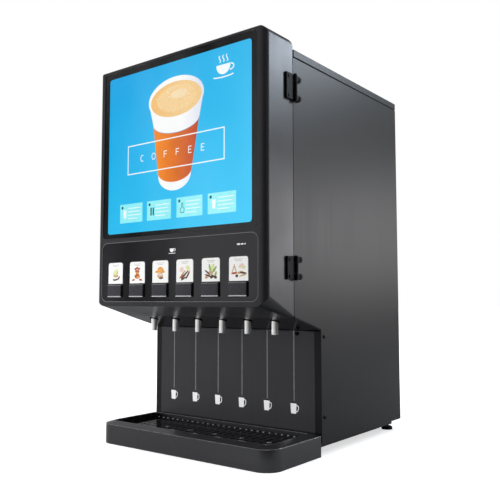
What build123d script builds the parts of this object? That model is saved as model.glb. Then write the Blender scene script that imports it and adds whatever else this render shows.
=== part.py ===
from build123d import *
import os

# Six-flavour hot powder drink dispenser, in millimetres. +Z is up, the customer stands on the -Y side,
# +X is to the customer's right. The origin is on the counter, under the middle of the machine.

# Stations: one canister, auger, mixing bowl, whipper, valve, nozzle, card and button for each flavour.
# The works stand a little to the left of the buttons.
STATIONS = 6
PITCH = 73.5
WORKS_SHIFT = -3.0
BUTTON_X = [(i - (STATIONS - 1) / 2) * PITCH for i in range(STATIONS)]
STATION_X = [x + WORKS_SHIFT for x in BUTTON_X]

# Cabinet
HALF_W = 251.0
SHEET = 1.5
SPLASH_Y = -101.0
JOINT_Y = SPLASH_Y - 104.0
BACK_Y = SPLASH_Y + 392.0
FLOOR_Z = 27.0
PANEL_TOP_Z = 845.5
LID_BOTTOM_Z = 849.0
LID_TOP_Z = 865.0
LID_FRONT_Y = JOINT_Y + 3.0
SIDE_IN = HALF_W - SHEET
FLANGE = 8.0
SLOPE_FRONT_Z = 301.5
SLOPE_REAR_Z = 272.0
UNDERSIDE_T = 4.3
SPLASH_TOP_Z = SLOPE_REAR_Z - UNDERSIDE_T
SPLASH_FLANGE = 17.0

# Inside the cabinet
DIVIDER_Y = SPLASH_Y + 168.0
SHELF_Z = 426.0
WHIP_PLATE_Y = SPLASH_Y - 14.0
AUGER_Z = 455.0
WHIP_Z = 330.0
TUBE_REAR_Z = 405.0
TUBE_FRONT_Z = 386.0
CANISTER_Y0 = SPLASH_Y - 95.0
CANISTER_Y1 = SPLASH_Y + 150.0
CANISTER_TOP_Z = 800.0
CANISTER_HALF = 33.0
CANISTER_WALL = 2.5
NOZZLE_Y = SPLASH_Y - 74.0
NOZZLE_Z0 = 260.5
NOZZLE_R = 7.25

# Door
DOOR_FRONT_Y = SPLASH_Y - 203.0
DOOR_REAR_Y = JOINT_Y - 1.5
DOOR_TOP_Z = 886.0
DOOR_FRONT_BOTTOM_Z = 321.0
DOOR_REAR_BOTTOM_Z = 297.0
DOOR_WALL = 3.0
DOOR_FACE_T = 7.0
PLATE_T = 3.0
GLASS_HALF = 231.0
GLASS_Z0 = 479.5
GLASS_Z1 = 881.0
PANEL_HALF = 231.6
PANEL_Z0 = 332.5
PANEL_Z1 = 468.0
BUTTON_W = 45.5
BUTTON_H = 28.5
BUTTON_Z = 356.25
BUTTON_PROUD = 5.0
BUTTON_TRAVEL = 4.0
CARD_W = 49.0
CARD_Z0 = 373.0
CARD_Z1 = 422.0
COVER_Y = JOINT_Y - 7.0

# Door hinges, on the right
HINGE_X = 256.5
HINGE_Y = JOINT_Y
HINGE_Z = [(376.5, 424.0), (752.0, 807.0)]
KNUCKLE_R = 4.5
PIN_R = 2.5
PIN_FIT = 0.05
LEAF_T = 4.6

# Door lock, on the left
LOCK_Y = JOINT_Y - 23.0
LOCK_Z = 590.0
LOCK_X = -HALF_W

# Drip tray
TRAY_Y0 = SPLASH_Y - 188.0
TRAY_Y1 = SPLASH_Y - 1.0
TRAY_SIDE_Z = 44.5
TRAY_LIP_Z = 50.0
TRAY_RIM = 20.0
TRAY_TUB_IN = 25.0
TRAY_CORNER_R = 38.0
GRATE_Z0 = 38.0
GRATE_T = 2.0

FEET = [(side * x, SPLASH_Y + y) for side in (-1, 1) for x, y in ((200.0, 34.0), (222.0, 371.0))]

os.makedirs("parts", exist_ok=True)


def front_plane(y):
    """Sketch plane facing the customer at depth y; its own axes are X and Z."""
    return Plane.XZ.offset(-y)


def side_plane(x):
    """Sketch plane facing +X at x; its own axes are Y and Z."""
    return Plane.YZ.offset(x)


def rect(u0, u1, v0, v1, mode=Mode.ADD):
    """Rectangle between two corners of the sketch plane."""
    with Locations(((u0 + u1) / 2, (v0 + v1) / 2)):
        Rectangle(u1 - u0, v1 - v0, mode=mode)


def block(x0, x1, y0, y1, z0, z1, mode=Mode.ADD):
    """Box between two corners."""
    with Locations(((x0 + x1) / 2, (y0 + y1) / 2, (z0 + z1) / 2)):
        Box(x1 - x0, y1 - y0, z1 - z0, mode=mode)


def rod_x(x0, x1, y, z, radius, mode=Mode.ADD):
    """Cylinder along X."""
    with Locations(Location(((x0 + x1) / 2, y, z), (0, 90, 0))):
        Cylinder(radius, x1 - x0, mode=mode)


def rod_y(x, y0, y1, z, radius, mode=Mode.ADD):
    """Cylinder along Y."""
    with Locations(Location((x, (y0 + y1) / 2, z), (90, 0, 0))):
        Cylinder(radius, y1 - y0, mode=mode)


def rod_z(x, y, z0, z1, radius, mode=Mode.ADD):
    """Cylinder along Z."""
    with Locations((x, y, (z0 + z1) / 2)):
        Cylinder(radius, z1 - z0, mode=mode)


# ---------------------------------------------------------------- cabinet: base, sheets and lid

# Floor sheet with side upstands, standing on an inset skirt
SKIRT_HALF = 244.0
SKIRT_Z = 18.0
SKIRT_Y0 = SPLASH_Y + 3.0
SKIRT_Y1 = SPLASH_Y + 354.0
STEM_R = 4.0
with BuildPart() as base_pan:
    block(-SIDE_IN, SIDE_IN, SPLASH_Y + SHEET, BACK_Y - SHEET, FLOOR_Z, FLOOR_Z + SHEET)
    for side in (-1, 1):
        block(*sorted((side * SIDE_IN, side * (SIDE_IN - SHEET))), SPLASH_Y + 30, BACK_Y - 20,
              FLOOR_Z, FLOOR_Z + 20)
    block(-SKIRT_HALF, SKIRT_HALF, SKIRT_Y0, SKIRT_Y1, SKIRT_Z, FLOOR_Z)
    block(-SKIRT_HALF + 2, SKIRT_HALF - 2, SKIRT_Y0 + 2, SKIRT_Y1 - 2, SKIRT_Z, FLOOR_Z, Mode.SUBTRACT)
    for foot_x, foot_y in FEET:
        rod_z(foot_x, foot_y, FLOOR_Z - 1, FLOOR_Z + 5, STEM_R + 0.5, Mode.SUBTRACT)
base_pan.part.label = "base_pan"
export_step(base_pan.part, "parts/base_pan.step")

# Levelling feet: rubber pad, threaded stem and lock nut
PAD_R = 14.0
PAD_RIM_Z = 6.0
PAD_TOP_Z = 8.5
with BuildPart() as levelling_feet:
    for foot_x, foot_y in FEET:
        rod_z(foot_x, foot_y, 0, PAD_RIM_Z, PAD_R)
        with Locations((foot_x, foot_y, (PAD_RIM_Z + PAD_TOP_Z) / 2)):
            Cone(PAD_R, PAD_R - 4, PAD_TOP_Z - PAD_RIM_Z)
        rod_z(foot_x, foot_y, PAD_TOP_Z, FLOOR_Z + 10, STEM_R)
        with BuildSketch(Plane.XY.offset(FLOOR_Z - 6)):
            with Locations((foot_x, foot_y)):
                RegularPolygon(8, 6)
        extrude(amount=6)
levelling_feet.part.label = "levelling_feet"
export_step(levelling_feet.part, "parts/levelling_feet.step")

# Side panels: one sheet each, cut back under the front, with return flanges on the free edges
for side, panel_name in ((-1, "left_side_panel"), (1, "right_side_panel")):
    with BuildPart() as side_panel:
        with BuildSketch(side_plane(side * HALF_W)):
            with BuildLine():
                Polyline(
                    (JOINT_Y, SLOPE_FRONT_Z), (JOINT_Y, PANEL_TOP_Z), (BACK_Y, PANEL_TOP_Z),
                    (BACK_Y, FLOOR_Z), (SPLASH_Y, FLOOR_Z), (SPLASH_Y, SLOPE_REAR_Z), close=True,
                )
            make_face()
        extrude(amount=-side * SHEET)
        inner = side * SIDE_IN
        block(*sorted((inner, inner - side * FLANGE)), JOINT_Y, JOINT_Y + SHEET, SLOPE_FRONT_Z + 3,
              PANEL_TOP_Z)
        block(*sorted((inner, inner - side * FLANGE)), JOINT_Y + SHEET, BACK_Y - 2 * SHEET,
              PANEL_TOP_Z - SHEET, PANEL_TOP_Z)
        block(*sorted((inner, inner - side * FLANGE)), BACK_Y - 2 * SHEET, BACK_Y - SHEET,
              FLOOR_Z + SHEET, PANEL_TOP_Z)
        block(*sorted((inner, side * (HALF_W - SPLASH_FLANGE))), SPLASH_Y, SPLASH_Y + SHEET, FLOOR_Z,
              SPLASH_TOP_Z - 1)
    side_panel.part.label = panel_name
    export_step(side_panel.part, f"parts/{panel_name}.step")

# Back panel: vent louvres high and low, holes for the water inlet and the mains inlet
WATER_X = 150.0
WATER_Z = 90.0
MAINS_X = -150.0
MAINS_Z = 88.0
VENT_PITCH = 12.0
with BuildPart() as back_panel:
    with BuildSketch(front_plane(BACK_Y)):
        rect(-SIDE_IN, SIDE_IN, FLOOR_Z, PANEL_TOP_Z)
        for vent_x, vent_z in ((0, 180), (-120, 740), (120, 740)):
            with Locations((vent_x, vent_z)):
                with GridLocations(0, VENT_PITCH, 1, 7):
                    SlotOverall(140, 5, mode=Mode.SUBTRACT)
        with Locations((WATER_X, WATER_Z)):
            Circle(14.0, mode=Mode.SUBTRACT)
        with Locations((MAINS_X, MAINS_Z)):
            Rectangle(29, 23, mode=Mode.SUBTRACT)
    extrude(amount=SHEET)
back_panel.part.label = "back_panel"
export_step(back_panel.part, "parts/back_panel.step")

# Lid: a shallow folded cap with a down-turned skirt
with BuildPart() as top_lid:
    block(-HALF_W, HALF_W, LID_FRONT_Y, BACK_Y, LID_BOTTOM_Z, LID_TOP_Z)
    fillet(top_lid.faces().sort_by(Axis.Z)[-1].edges(), radius=2.5)
    block(-SIDE_IN, SIDE_IN, LID_FRONT_Y + SHEET, BACK_Y - SHEET, LID_BOTTOM_Z, LID_TOP_Z - 2,
          Mode.SUBTRACT)
top_lid.part.label = "top_lid"
export_step(top_lid.part, "parts/top_lid.step")

# Seal ring between the lid and the panels
with BuildPart() as lid_seal:
    with BuildSketch(Plane.XY.offset(PANEL_TOP_Z)):
        rect(-HALF_W + 0.8, HALF_W - 0.8, LID_FRONT_Y + 0.8, BACK_Y - 0.8)
        rect(-HALF_W + 9, HALF_W - 9, LID_FRONT_Y + 9, BACK_Y - 9, Mode.SUBTRACT)
    extrude(amount=LID_BOTTOM_Z - PANEL_TOP_Z)
lid_seal.part.label = "lid_seal"
export_step(lid_seal.part, "parts/lid_seal.step")

# Divider between the canister bay and the works behind it
BAY_TOP_Z = PANEL_TOP_Z - 2 * SHEET
with BuildPart() as bay_divider:
    with BuildSketch(front_plane(DIVIDER_Y)):
        rect(-SIDE_IN, SIDE_IN, FLOOR_Z + 22, BAY_TOP_Z)
        for x in STATION_X:
            with Locations((x, AUGER_Z)):
                Circle(6, mode=Mode.SUBTRACT)
            with Locations((x, TUBE_REAR_Z)):
                Circle(6, mode=Mode.SUBTRACT)
    extrude(amount=-SHEET)
    block(-SIDE_IN + 3, SIDE_IN - 3, DIVIDER_Y + SHEET, DIVIDER_Y + 12, FLOOR_Z + 22, FLOOR_Z + 22 + SHEET)
bay_divider.part.label = "bay_divider"
export_step(bay_divider.part, "parts/bay_divider.step")

# Canister shelf, bent down at the front into the plate that the whipper motors bolt to
with BuildPart() as hopper_shelf:
    with BuildSketch(Plane.XY.offset(SHELF_Z)):
        rect(-SIDE_IN, SIDE_IN, WHIP_PLATE_Y, DIVIDER_Y)
    extrude(amount=SHEET)
    with BuildSketch(front_plane(WHIP_PLATE_Y)):
        rect(-SIDE_IN, SIDE_IN, 288, SHELF_Z)
        for x in STATION_X:
            with Locations((x, WHIP_Z)):
                Circle(6, mode=Mode.SUBTRACT)
            with Locations((x, TUBE_FRONT_Z)):
                Circle(6, mode=Mode.SUBTRACT)
    extrude(amount=-SHEET)
hopper_shelf.part.label = "hopper_shelf"
export_step(hopper_shelf.part, "parts/hopper_shelf.step")

# Sloped underside over the cups, with a grommet hole for each nozzle
with BuildPart() as underside_panel:
    with BuildSketch(side_plane(-HALF_W)):
        with BuildLine():
            Polyline(
                (JOINT_Y, SLOPE_FRONT_Z), (SPLASH_Y, SLOPE_REAR_Z),
                (SPLASH_Y, SLOPE_REAR_Z - UNDERSIDE_T), (JOINT_Y, SLOPE_FRONT_Z - UNDERSIDE_T), close=True,
            )
        make_face()
    extrude(amount=2 * HALF_W)
    for x in STATION_X:
        rod_z(x, NOZZLE_Y, 250, 320, NOZZLE_R + 2, Mode.SUBTRACT)
underside_panel.part.label = "underside_panel"
export_step(underside_panel.part, "parts/underside_panel.step")

# Splash panel behind the cups, held between the side panels' front flanges
SPLASH_HALF = HALF_W - SPLASH_FLANGE - 0.3
with BuildPart() as splash_panel:
    block(-SPLASH_HALF, SPLASH_HALF, SPLASH_Y, SPLASH_Y + SHEET, FLOOR_Z + 0.3, SPLASH_TOP_Z - 1)
    for side in (-1, 1):
        block(*sorted((side * SPLASH_HALF, side * (SPLASH_HALF - SHEET))), SPLASH_Y + SHEET,
              SPLASH_Y + 14, FLOOR_Z + 22, SPLASH_TOP_Z - 8)
splash_panel.part.label = "splash_panel"
export_step(splash_panel.part, "parts/splash_panel.step")

# Screws: a pair low on each side panel, one thumb screw on the splash panel, six on the back
SCREW_HEAD_R = 4.5
SCREW_HEAD_T = 2.2
with BuildPart() as panel_screws:
    for side in (-1, 1):
        for screw_z in (82.0, 255.0):
            rod_x(*sorted((side * HALF_W, side * (HALF_W + SCREW_HEAD_T))), SPLASH_Y + 12, screw_z,
                  SCREW_HEAD_R)
    rod_y(188, SPLASH_Y - 3.5, SPLASH_Y, 260.5, 4.2)
    for x in (-235, 235):
        for screw_z in (60, 430, 820):
            rod_y(x, BACK_Y, BACK_Y + SCREW_HEAD_T, screw_z, SCREW_HEAD_R)
panel_screws.part.label = "panel_screws"
export_step(panel_screws.part, "parts/panel_screws.step")

# ---------------------------------------------------------------- powder canisters and augers

# Canister: straight sides that narrow into a round auger trough, with a spout at the front
TROUGH_R = 19.0
SPOUT_R = 13.0
SHAFT_R = 3.0
with BuildPart() as hopper_canisters:
    for x in STATION_X:
        for wall, y0, y1, mode in (
            (0.0, CANISTER_Y0, CANISTER_Y1, Mode.ADD),
            (CANISTER_WALL, CANISTER_Y0 + CANISTER_WALL, CANISTER_Y1 - CANISTER_WALL, Mode.SUBTRACT),
        ):
            half = CANISTER_HALF - wall
            radius = TROUGH_R - wall
            with BuildSketch(front_plane(y0)):
                with BuildLine():
                    Polyline(
                        (x - radius, AUGER_Z), (x - half, 520), (x - half, CANISTER_TOP_Z),
                        (x + half, CANISTER_TOP_Z), (x + half, 520), (x + radius, AUGER_Z),
                    )
                    ThreePointArc((x + radius, AUGER_Z), (x, AUGER_Z - radius), (x - radius, AUGER_Z))
                make_face()
            extrude(amount=y0 - y1, mode=mode)
        block(x - 12, x + 12, WHIP_PLATE_Y + 4, CANISTER_Y1 - 4, SHELF_Z + SHEET, AUGER_Z - TROUGH_R + 2)
        block(x - 13, x + 13, WHIP_PLATE_Y, CANISTER_Y1, AUGER_Z - TROUGH_R + CANISTER_WALL,
              AUGER_Z - TROUGH_R + CANISTER_WALL + 3, Mode.SUBTRACT)
        rod_z(x, NOZZLE_Y, 404, AUGER_Z - TROUGH_R + 3, SPOUT_R)
        rod_z(x, NOZZLE_Y, 404, AUGER_Z - 10, SPOUT_R - CANISTER_WALL, Mode.SUBTRACT)
        rod_y(x, CANISTER_Y1 - 5, CANISTER_Y1 + 1, AUGER_Z, SHAFT_R + 1.5, Mode.SUBTRACT)
hopper_canisters.part.label = "hopper_canisters"
export_step(hopper_canisters.part, "parts/hopper_canisters.step")

# Canister lids: a flat cover with a turned-down edge and a finger grip
with BuildPart() as hopper_lids:
    for x in STATION_X:
        block(x - CANISTER_HALF - 2, x + CANISTER_HALF + 2, CANISTER_Y0 - 2, CANISTER_Y1 + 2,
              CANISTER_TOP_Z - 8, CANISTER_TOP_Z + 2.5)
        block(x - CANISTER_HALF - 0.2, x + CANISTER_HALF + 0.2, CANISTER_Y0 - 0.2, CANISTER_Y1 + 0.2,
              CANISTER_TOP_Z - 8, CANISTER_TOP_Z, Mode.SUBTRACT)
        block(x - 15, x + 15, CANISTER_Y0 + 20, CANISTER_Y0 + 26, CANISTER_TOP_Z + 2.5, CANISTER_TOP_Z + 12)
hopper_lids.part.label = "hopper_lids"
export_step(hopper_lids.part, "parts/hopper_lids.step")

# Auger: a shaft with slanted flights that push powder to the spout
FLIGHT_R = 14.0
FLIGHT_PITCH = 17.0
FLIGHT_TILT = 16.0
FLIGHTS = 13
AUGER_Y0 = CANISTER_Y0 + 5
AUGER_Y1 = DIVIDER_Y + 18
MOTOR_FACE_Y = DIVIDER_Y + SHEET
for i, x in enumerate(STATION_X):
    with BuildPart() as auger:
        rod_y(x, AUGER_Y0, AUGER_Y1, AUGER_Z, SHAFT_R)
        for flight in range(FLIGHTS):
            flight_y = AUGER_Y0 + 8 + flight * FLIGHT_PITCH
            with Locations(Location((x, flight_y, AUGER_Z), (90 - FLIGHT_TILT, 0, 0))):
                Cylinder(FLIGHT_R, 1.8)
    auger.part.label = f"auger_{i + 1}"
    export_step(auger.part, f"parts/auger_{i + 1}.step")

# Auger gear motors: flat gearbox with the shaft socket, motor can behind it
with BuildPart() as auger_motors:
    for x in STATION_X:
        block(x - 26, x + 26, MOTOR_FACE_Y, MOTOR_FACE_Y + 24, 430, 486)
        rod_y(x, MOTOR_FACE_Y + 24, MOTOR_FACE_Y + 70, AUGER_Z, 17)
        rod_y(x, MOTOR_FACE_Y - 1, AUGER_Y1 + 1, AUGER_Z, SHAFT_R + PIN_FIT, Mode.SUBTRACT)
auger_motors.part.label = "auger_motors"
export_step(auger_motors.part, "parts/auger_motors.step")

# ---------------------------------------------------------------- mixing bowls, whippers, nozzles

BOWL_TOP_Z = 398.0
BOWL_R = 26.0
BOWL_WALL = 2.0
CHAMBER_R = 20.0
CHAMBER_Y0 = NOZZLE_Y - 16.0
CHAMBER_Y1 = NOZZLE_Y + 34.0
NOZZLE_TOP_Z = 302.0
INLET_Y = NOZZLE_Y + 36.0
with BuildPart() as mixing_bowls:
    for x in STATION_X:
        rod_z(x, NOZZLE_Y, 372, BOWL_TOP_Z, BOWL_R)
        with Locations((x, NOZZLE_Y, (340 + 372) / 2)):
            Cone(14, BOWL_R, 32)
        rod_y(x, CHAMBER_Y0, CHAMBER_Y1, WHIP_Z, CHAMBER_R)
        rod_z(x, NOZZLE_Y, NOZZLE_TOP_Z, WHIP_Z - 10, 9)
        rod_y(x, NOZZLE_Y, INLET_Y, TUBE_FRONT_Z, 5)
        rod_z(x, NOZZLE_Y, 372, BOWL_TOP_Z, BOWL_R - BOWL_WALL, Mode.SUBTRACT)
        with Locations((x, NOZZLE_Y, (340 + 372) / 2)):
            Cone(14 - BOWL_WALL, BOWL_R - BOWL_WALL, 32, mode=Mode.SUBTRACT)
        rod_z(x, NOZZLE_Y, WHIP_Z, 341, 14 - BOWL_WALL, Mode.SUBTRACT)
        rod_y(x, CHAMBER_Y0 + 2.5, CHAMBER_Y1 - 2.5, WHIP_Z, CHAMBER_R - 2.5, Mode.SUBTRACT)
        rod_z(x, NOZZLE_Y, NOZZLE_TOP_Z, WHIP_Z, 6, Mode.SUBTRACT)
        rod_y(x, NOZZLE_Y + BOWL_R - 4, INLET_Y, TUBE_FRONT_Z, 3, Mode.SUBTRACT)
        rod_y(x, CHAMBER_Y1 - 4, CHAMBER_Y1 + 1, WHIP_Z, 4, Mode.SUBTRACT)
mixing_bowls.part.label = "mixing_bowls"
export_step(mixing_bowls.part, "parts/mixing_bowls.step")

# Whipper: a small paddle wheel on the motor's shaft, turning inside the mixing chamber
WHIP_MOTOR_Y = WHIP_PLATE_Y + SHEET
WHIP_SHAFT_R = 2.5
WHEEL_Y0 = CHAMBER_Y0 + 6.0
WHEEL_T = 9.0
for i, x in enumerate(STATION_X):
    with BuildPart() as whipper:
        rod_y(x, WHEEL_Y0, WHIP_MOTOR_Y + 14, WHIP_Z, WHIP_SHAFT_R)
        rod_y(x, WHEEL_Y0, WHEEL_Y0 + WHEEL_T, WHIP_Z, 6)
        rod_y(x, WHEEL_Y0 + WHEEL_T - 2, WHEEL_Y0 + WHEEL_T, WHIP_Z, 13)
        block(x - 13, x + 13, WHEEL_Y0, WHEEL_Y0 + WHEEL_T - 1, WHIP_Z - 1, WHIP_Z + 1)
        block(x - 1, x + 1, WHEEL_Y0, WHEEL_Y0 + WHEEL_T - 1, WHIP_Z - 13, WHIP_Z + 13)
    whipper.part.label = f"whipper_{i + 1}"
    export_step(whipper.part, f"parts/whipper_{i + 1}.step")

with BuildPart() as whipper_motors:
    for x in STATION_X:
        block(x - 24, x + 24, WHIP_MOTOR_Y, WHIP_MOTOR_Y + 4, WHIP_Z - 24, WHIP_Z + 24)
        rod_y(x, WHIP_MOTOR_Y + 4, WHIP_MOTOR_Y + 58, WHIP_Z, 20)
        rod_y(x, WHIP_MOTOR_Y - 1, WHIP_MOTOR_Y + 15, WHIP_Z, WHIP_SHAFT_R + PIN_FIT, Mode.SUBTRACT)
whipper_motors.part.label = "whipper_motors"
export_step(whipper_motors.part, "parts/whipper_motors.step")

# Outlet nozzles: plain white tubes below the bowls
with BuildPart() as outlet_nozzles:
    for x in STATION_X:
        rod_z(x, NOZZLE_Y, NOZZLE_Z0, NOZZLE_TOP_Z, NOZZLE_R)
        rod_z(x, NOZZLE_Y, NOZZLE_Z0, NOZZLE_TOP_Z, NOZZLE_R - 2, Mode.SUBTRACT)
outlet_nozzles.part.label = "outlet_nozzles"
export_step(outlet_nozzles.part, "parts/outlet_nozzles.step")

# ---------------------------------------------------------------- hot water and electrics

TANK_HALF = 206.0
TANK_Y0 = SPLASH_Y + 258.0
TANK_Y1 = SPLASH_Y + 372.0
TANK_Z0 = 350.0
TANK_Z1 = 640.0
HEATER_X = 60.0
HEATER_R = 4.0
with BuildPart() as water_tank:
    block(-TANK_HALF, TANK_HALF, TANK_Y0, TANK_Y1, TANK_Z0, TANK_Z1)
    fillet(water_tank.edges().filter_by(Axis.Z), radius=18)
    with BuildSketch(Plane.XY.offset(TANK_Z0 + 2)):
        with Locations((0, (TANK_Y0 + TANK_Y1) / 2)):
            RectangleRounded(2 * TANK_HALF - 4, TANK_Y1 - TANK_Y0 - 4, 16)
    extrude(amount=TANK_Z1 - TANK_Z0, mode=Mode.SUBTRACT)
    for side in (-1, 1):
        block(*sorted((side * 170, side * 200)), TANK_Y1, BACK_Y - SHEET, 400, 402)
        block(*sorted((side * 170, side * 200)), TANK_Y1, TANK_Y1 + 2, 402, 430)
water_tank.part.label = "water_tank"
export_step(water_tank.part, "parts/water_tank.step")

with BuildPart() as tank_lid:
    block(-TANK_HALF, TANK_HALF, TANK_Y0, TANK_Y1, TANK_Z1, TANK_Z1 + 4)
    fillet(tank_lid.edges().filter_by(Axis.Z), radius=18)
    for side in (-1, 1):
        rod_z(side * HEATER_X, (TANK_Y0 + TANK_Y1) / 2, TANK_Z1 - 1, TANK_Z1 + 9, HEATER_R + 0.3,
              Mode.SUBTRACT)
tank_lid.part.label = "tank_lid"
export_step(tank_lid.part, "parts/tank_lid.step")

# Heating element: a sheathed loop hanging from the tank lid, its two ends standing proud
with BuildPart() as heating_element:
    with BuildLine():
        FilletPolyline(
            (-HEATER_X, (TANK_Y0 + TANK_Y1) / 2, TANK_Z1 + 18),
            (-HEATER_X, (TANK_Y0 + TANK_Y1) / 2, TANK_Z0 + 40),
            (HEATER_X, (TANK_Y0 + TANK_Y1) / 2, TANK_Z0 + 40),
            (HEATER_X, (TANK_Y0 + TANK_Y1) / 2, TANK_Z1 + 18),
            radius=25,
        )
    with BuildSketch(Plane.XY.offset(TANK_Z1 + 18)):
        with Locations((-HEATER_X, (TANK_Y0 + TANK_Y1) / 2)):
            Circle(HEATER_R)
    sweep()
heating_element.part.label = "heating_element"
export_step(heating_element.part, "parts/heating_element.step")

# Dispense valves: one solenoid valve per station on the tank's front wall
VALVE_Y0 = SPLASH_Y + 206.0
with BuildPart() as dispense_valves:
    for x in STATION_X:
        block(x - 13, x + 13, VALVE_Y0, TANK_Y0 - 12, TUBE_REAR_Z - 14, TUBE_REAR_Z + 14)
        rod_y(x, TANK_Y0 - 12, TANK_Y0, TUBE_REAR_Z, 8)
        rod_z(x, VALVE_Y0 + 18, TUBE_REAR_Z - 42, TUBE_REAR_Z - 14, 12)
dispense_valves.part.label = "dispense_valves"
export_step(dispense_valves.part, "parts/dispense_valves.step")

# Silicone water tubes from the valves to the bowls, through grommet holes
TUBE_R = 4.0
with BuildPart() as water_tubes:
    for x in STATION_X:
        with BuildLine():
            FilletPolyline(
                (x, VALVE_Y0, TUBE_REAR_Z), (x, SPLASH_Y + 120, TUBE_REAR_Z),
                (x, SPLASH_Y + 50, TUBE_FRONT_Z), (x, INLET_Y, TUBE_FRONT_Z), radius=40,
            )
        with BuildSketch(front_plane(VALVE_Y0)):
            with Locations((x, TUBE_REAR_Z)):
                Circle(TUBE_R)
        sweep()
water_tubes.part.label = "water_tubes"
export_step(water_tubes.part, "parts/water_tubes.step")

# Water inlet valve with its threaded connector through the back panel
CONNECTOR_R = 13.2
CONNECTOR_PROUD = 18.0
NECK_R = 12.0
NECK_PROUD = 1.0
with BuildPart() as water_inlet_valve:
    block(WATER_X - 22, WATER_X + 22, BACK_Y - 52, BACK_Y - SHEET - 2, WATER_Z - 20, WATER_Z + 20)
    rod_z(WATER_X, BACK_Y - 30, WATER_Z + 20, WATER_Z + 58, 17)
    rod_y(WATER_X, BACK_Y - SHEET - 3, BACK_Y + NECK_PROUD, WATER_Z, NECK_R)
    rod_y(WATER_X, BACK_Y + NECK_PROUD, BACK_Y + CONNECTOR_PROUD, WATER_Z, CONNECTOR_R)
    rod_y(WATER_X, BACK_Y - 20, BACK_Y + CONNECTOR_PROUD + 1, WATER_Z, 8, Mode.SUBTRACT)
water_inlet_valve.part.label = "water_inlet_valve"
export_step(water_inlet_valve.part, "parts/water_inlet_valve.step")

# Mains inlet: a three-pin appliance socket in the back panel
with BuildPart() as mains_inlet:
    block(MAINS_X - 24, MAINS_X + 24, BACK_Y, BACK_Y + 3, MAINS_Z - 14, MAINS_Z + 14)
    block(MAINS_X - 14, MAINS_X + 14, BACK_Y - 20, BACK_Y, MAINS_Z - 11, MAINS_Z + 11)
    block(MAINS_X - 12, MAINS_X + 12, BACK_Y - 14, BACK_Y + 3, MAINS_Z - 8, MAINS_Z + 8, Mode.SUBTRACT)
    for pin_x, pin_z in ((-6, -1), (0, 3), (6, -1)):
        block(MAINS_X + pin_x - 1, MAINS_X + pin_x + 1, BACK_Y - 14, BACK_Y - 2, MAINS_Z + pin_z - 2,
              MAINS_Z + pin_z + 2)
mains_inlet.part.label = "mains_inlet"
export_step(mains_inlet.part, "parts/mains_inlet.step")

# Power supply box on the floor
with BuildPart() as power_supply:
    block(-215, -60, SPLASH_Y + 235, SPLASH_Y + 350, FLOOR_Z + SHEET, 98)
    for x in (-195, -165, -135, -105, -80):
        block(x, x + 6, SPLASH_Y + 250, SPLASH_Y + 335, 95, 99, Mode.SUBTRACT)
power_supply.part.label = "power_supply"
export_step(power_supply.part, "parts/power_supply.step")

# Control board on stand-offs behind the divider
BOARD_Y = DIVIDER_Y + SHEET + 8
with BuildPart() as control_board:
    block(-120, 120, BOARD_Y, BOARD_Y + 1.6, 560, 720)
    for x in (-112, 112):
        for z in (568, 712):
            rod_y(x, DIVIDER_Y + SHEET, BOARD_Y, z, 3)
    for part_x, part_z, w, h, depth in (
        (-80, 690, 40, 30, 22), (-20, 690, 40, 30, 22), (60, 680, 60, 40, 6), (-70, 600, 60, 40, 30),
        (20, 610, 24, 24, 4), (85, 600, 30, 50, 16),
    ):
        block(part_x - w / 2, part_x + w / 2, BOARD_Y + 1.6, BOARD_Y + 1.6 + depth, part_z - h / 2,
              part_z + h / 2)
control_board.part.label = "control_board"
export_step(control_board.part, "parts/control_board.step")

# ---------------------------------------------------------------- door


def door_block(inset, front_y):
    """The door's outer form drawn in by an inset: rounded front edges, sloping bottom, soft top."""
    half = HALF_W - inset
    top = DOOR_TOP_Z - inset
    rise = DOOR_FRONT_BOTTOM_Z - DOOR_REAR_BOTTOM_Z
    with BuildPart() as form:
        for y, low_r in ((DOOR_FRONT_Y, 28.0), (DOOR_REAR_Y, 5.0)):
            low = DOOR_REAR_BOTTOM_Z + rise * (DOOR_REAR_Y - y) / (DOOR_REAR_Y - DOOR_FRONT_Y) + inset
            with BuildSketch(front_plane(y)) as outline:
                rect(-half, half, low, top)
                fillet(outline.vertices().group_by(Axis.Y)[0], radius=max(low_r - inset, 1.5))
                fillet(outline.vertices().group_by(Axis.Y)[-1], radius=14.0 - inset)
        loft()
        with BuildSketch(Plane.XY) as plan:
            rect(-half, half, front_y, DOOR_REAR_Y)
            fillet(plan.vertices().group_by(Axis.Y)[0], radius=14.0 - inset)
        extrude(amount=1000, mode=Mode.INTERSECT)
        with BuildSketch(side_plane(-half - 10)) as profile:
            rect(front_y, DOOR_REAR_Y, 200, top)
            top_corners = profile.vertices().group_by(Axis.Y)[-1].sort_by(Axis.X)
            fillet(top_corners[-1], radius=20.0 - inset)
            fillet(top_corners[0], radius=5.0 - inset)
        extrude(amount=2 * half + 20, mode=Mode.INTERSECT)
    return form.part


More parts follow.
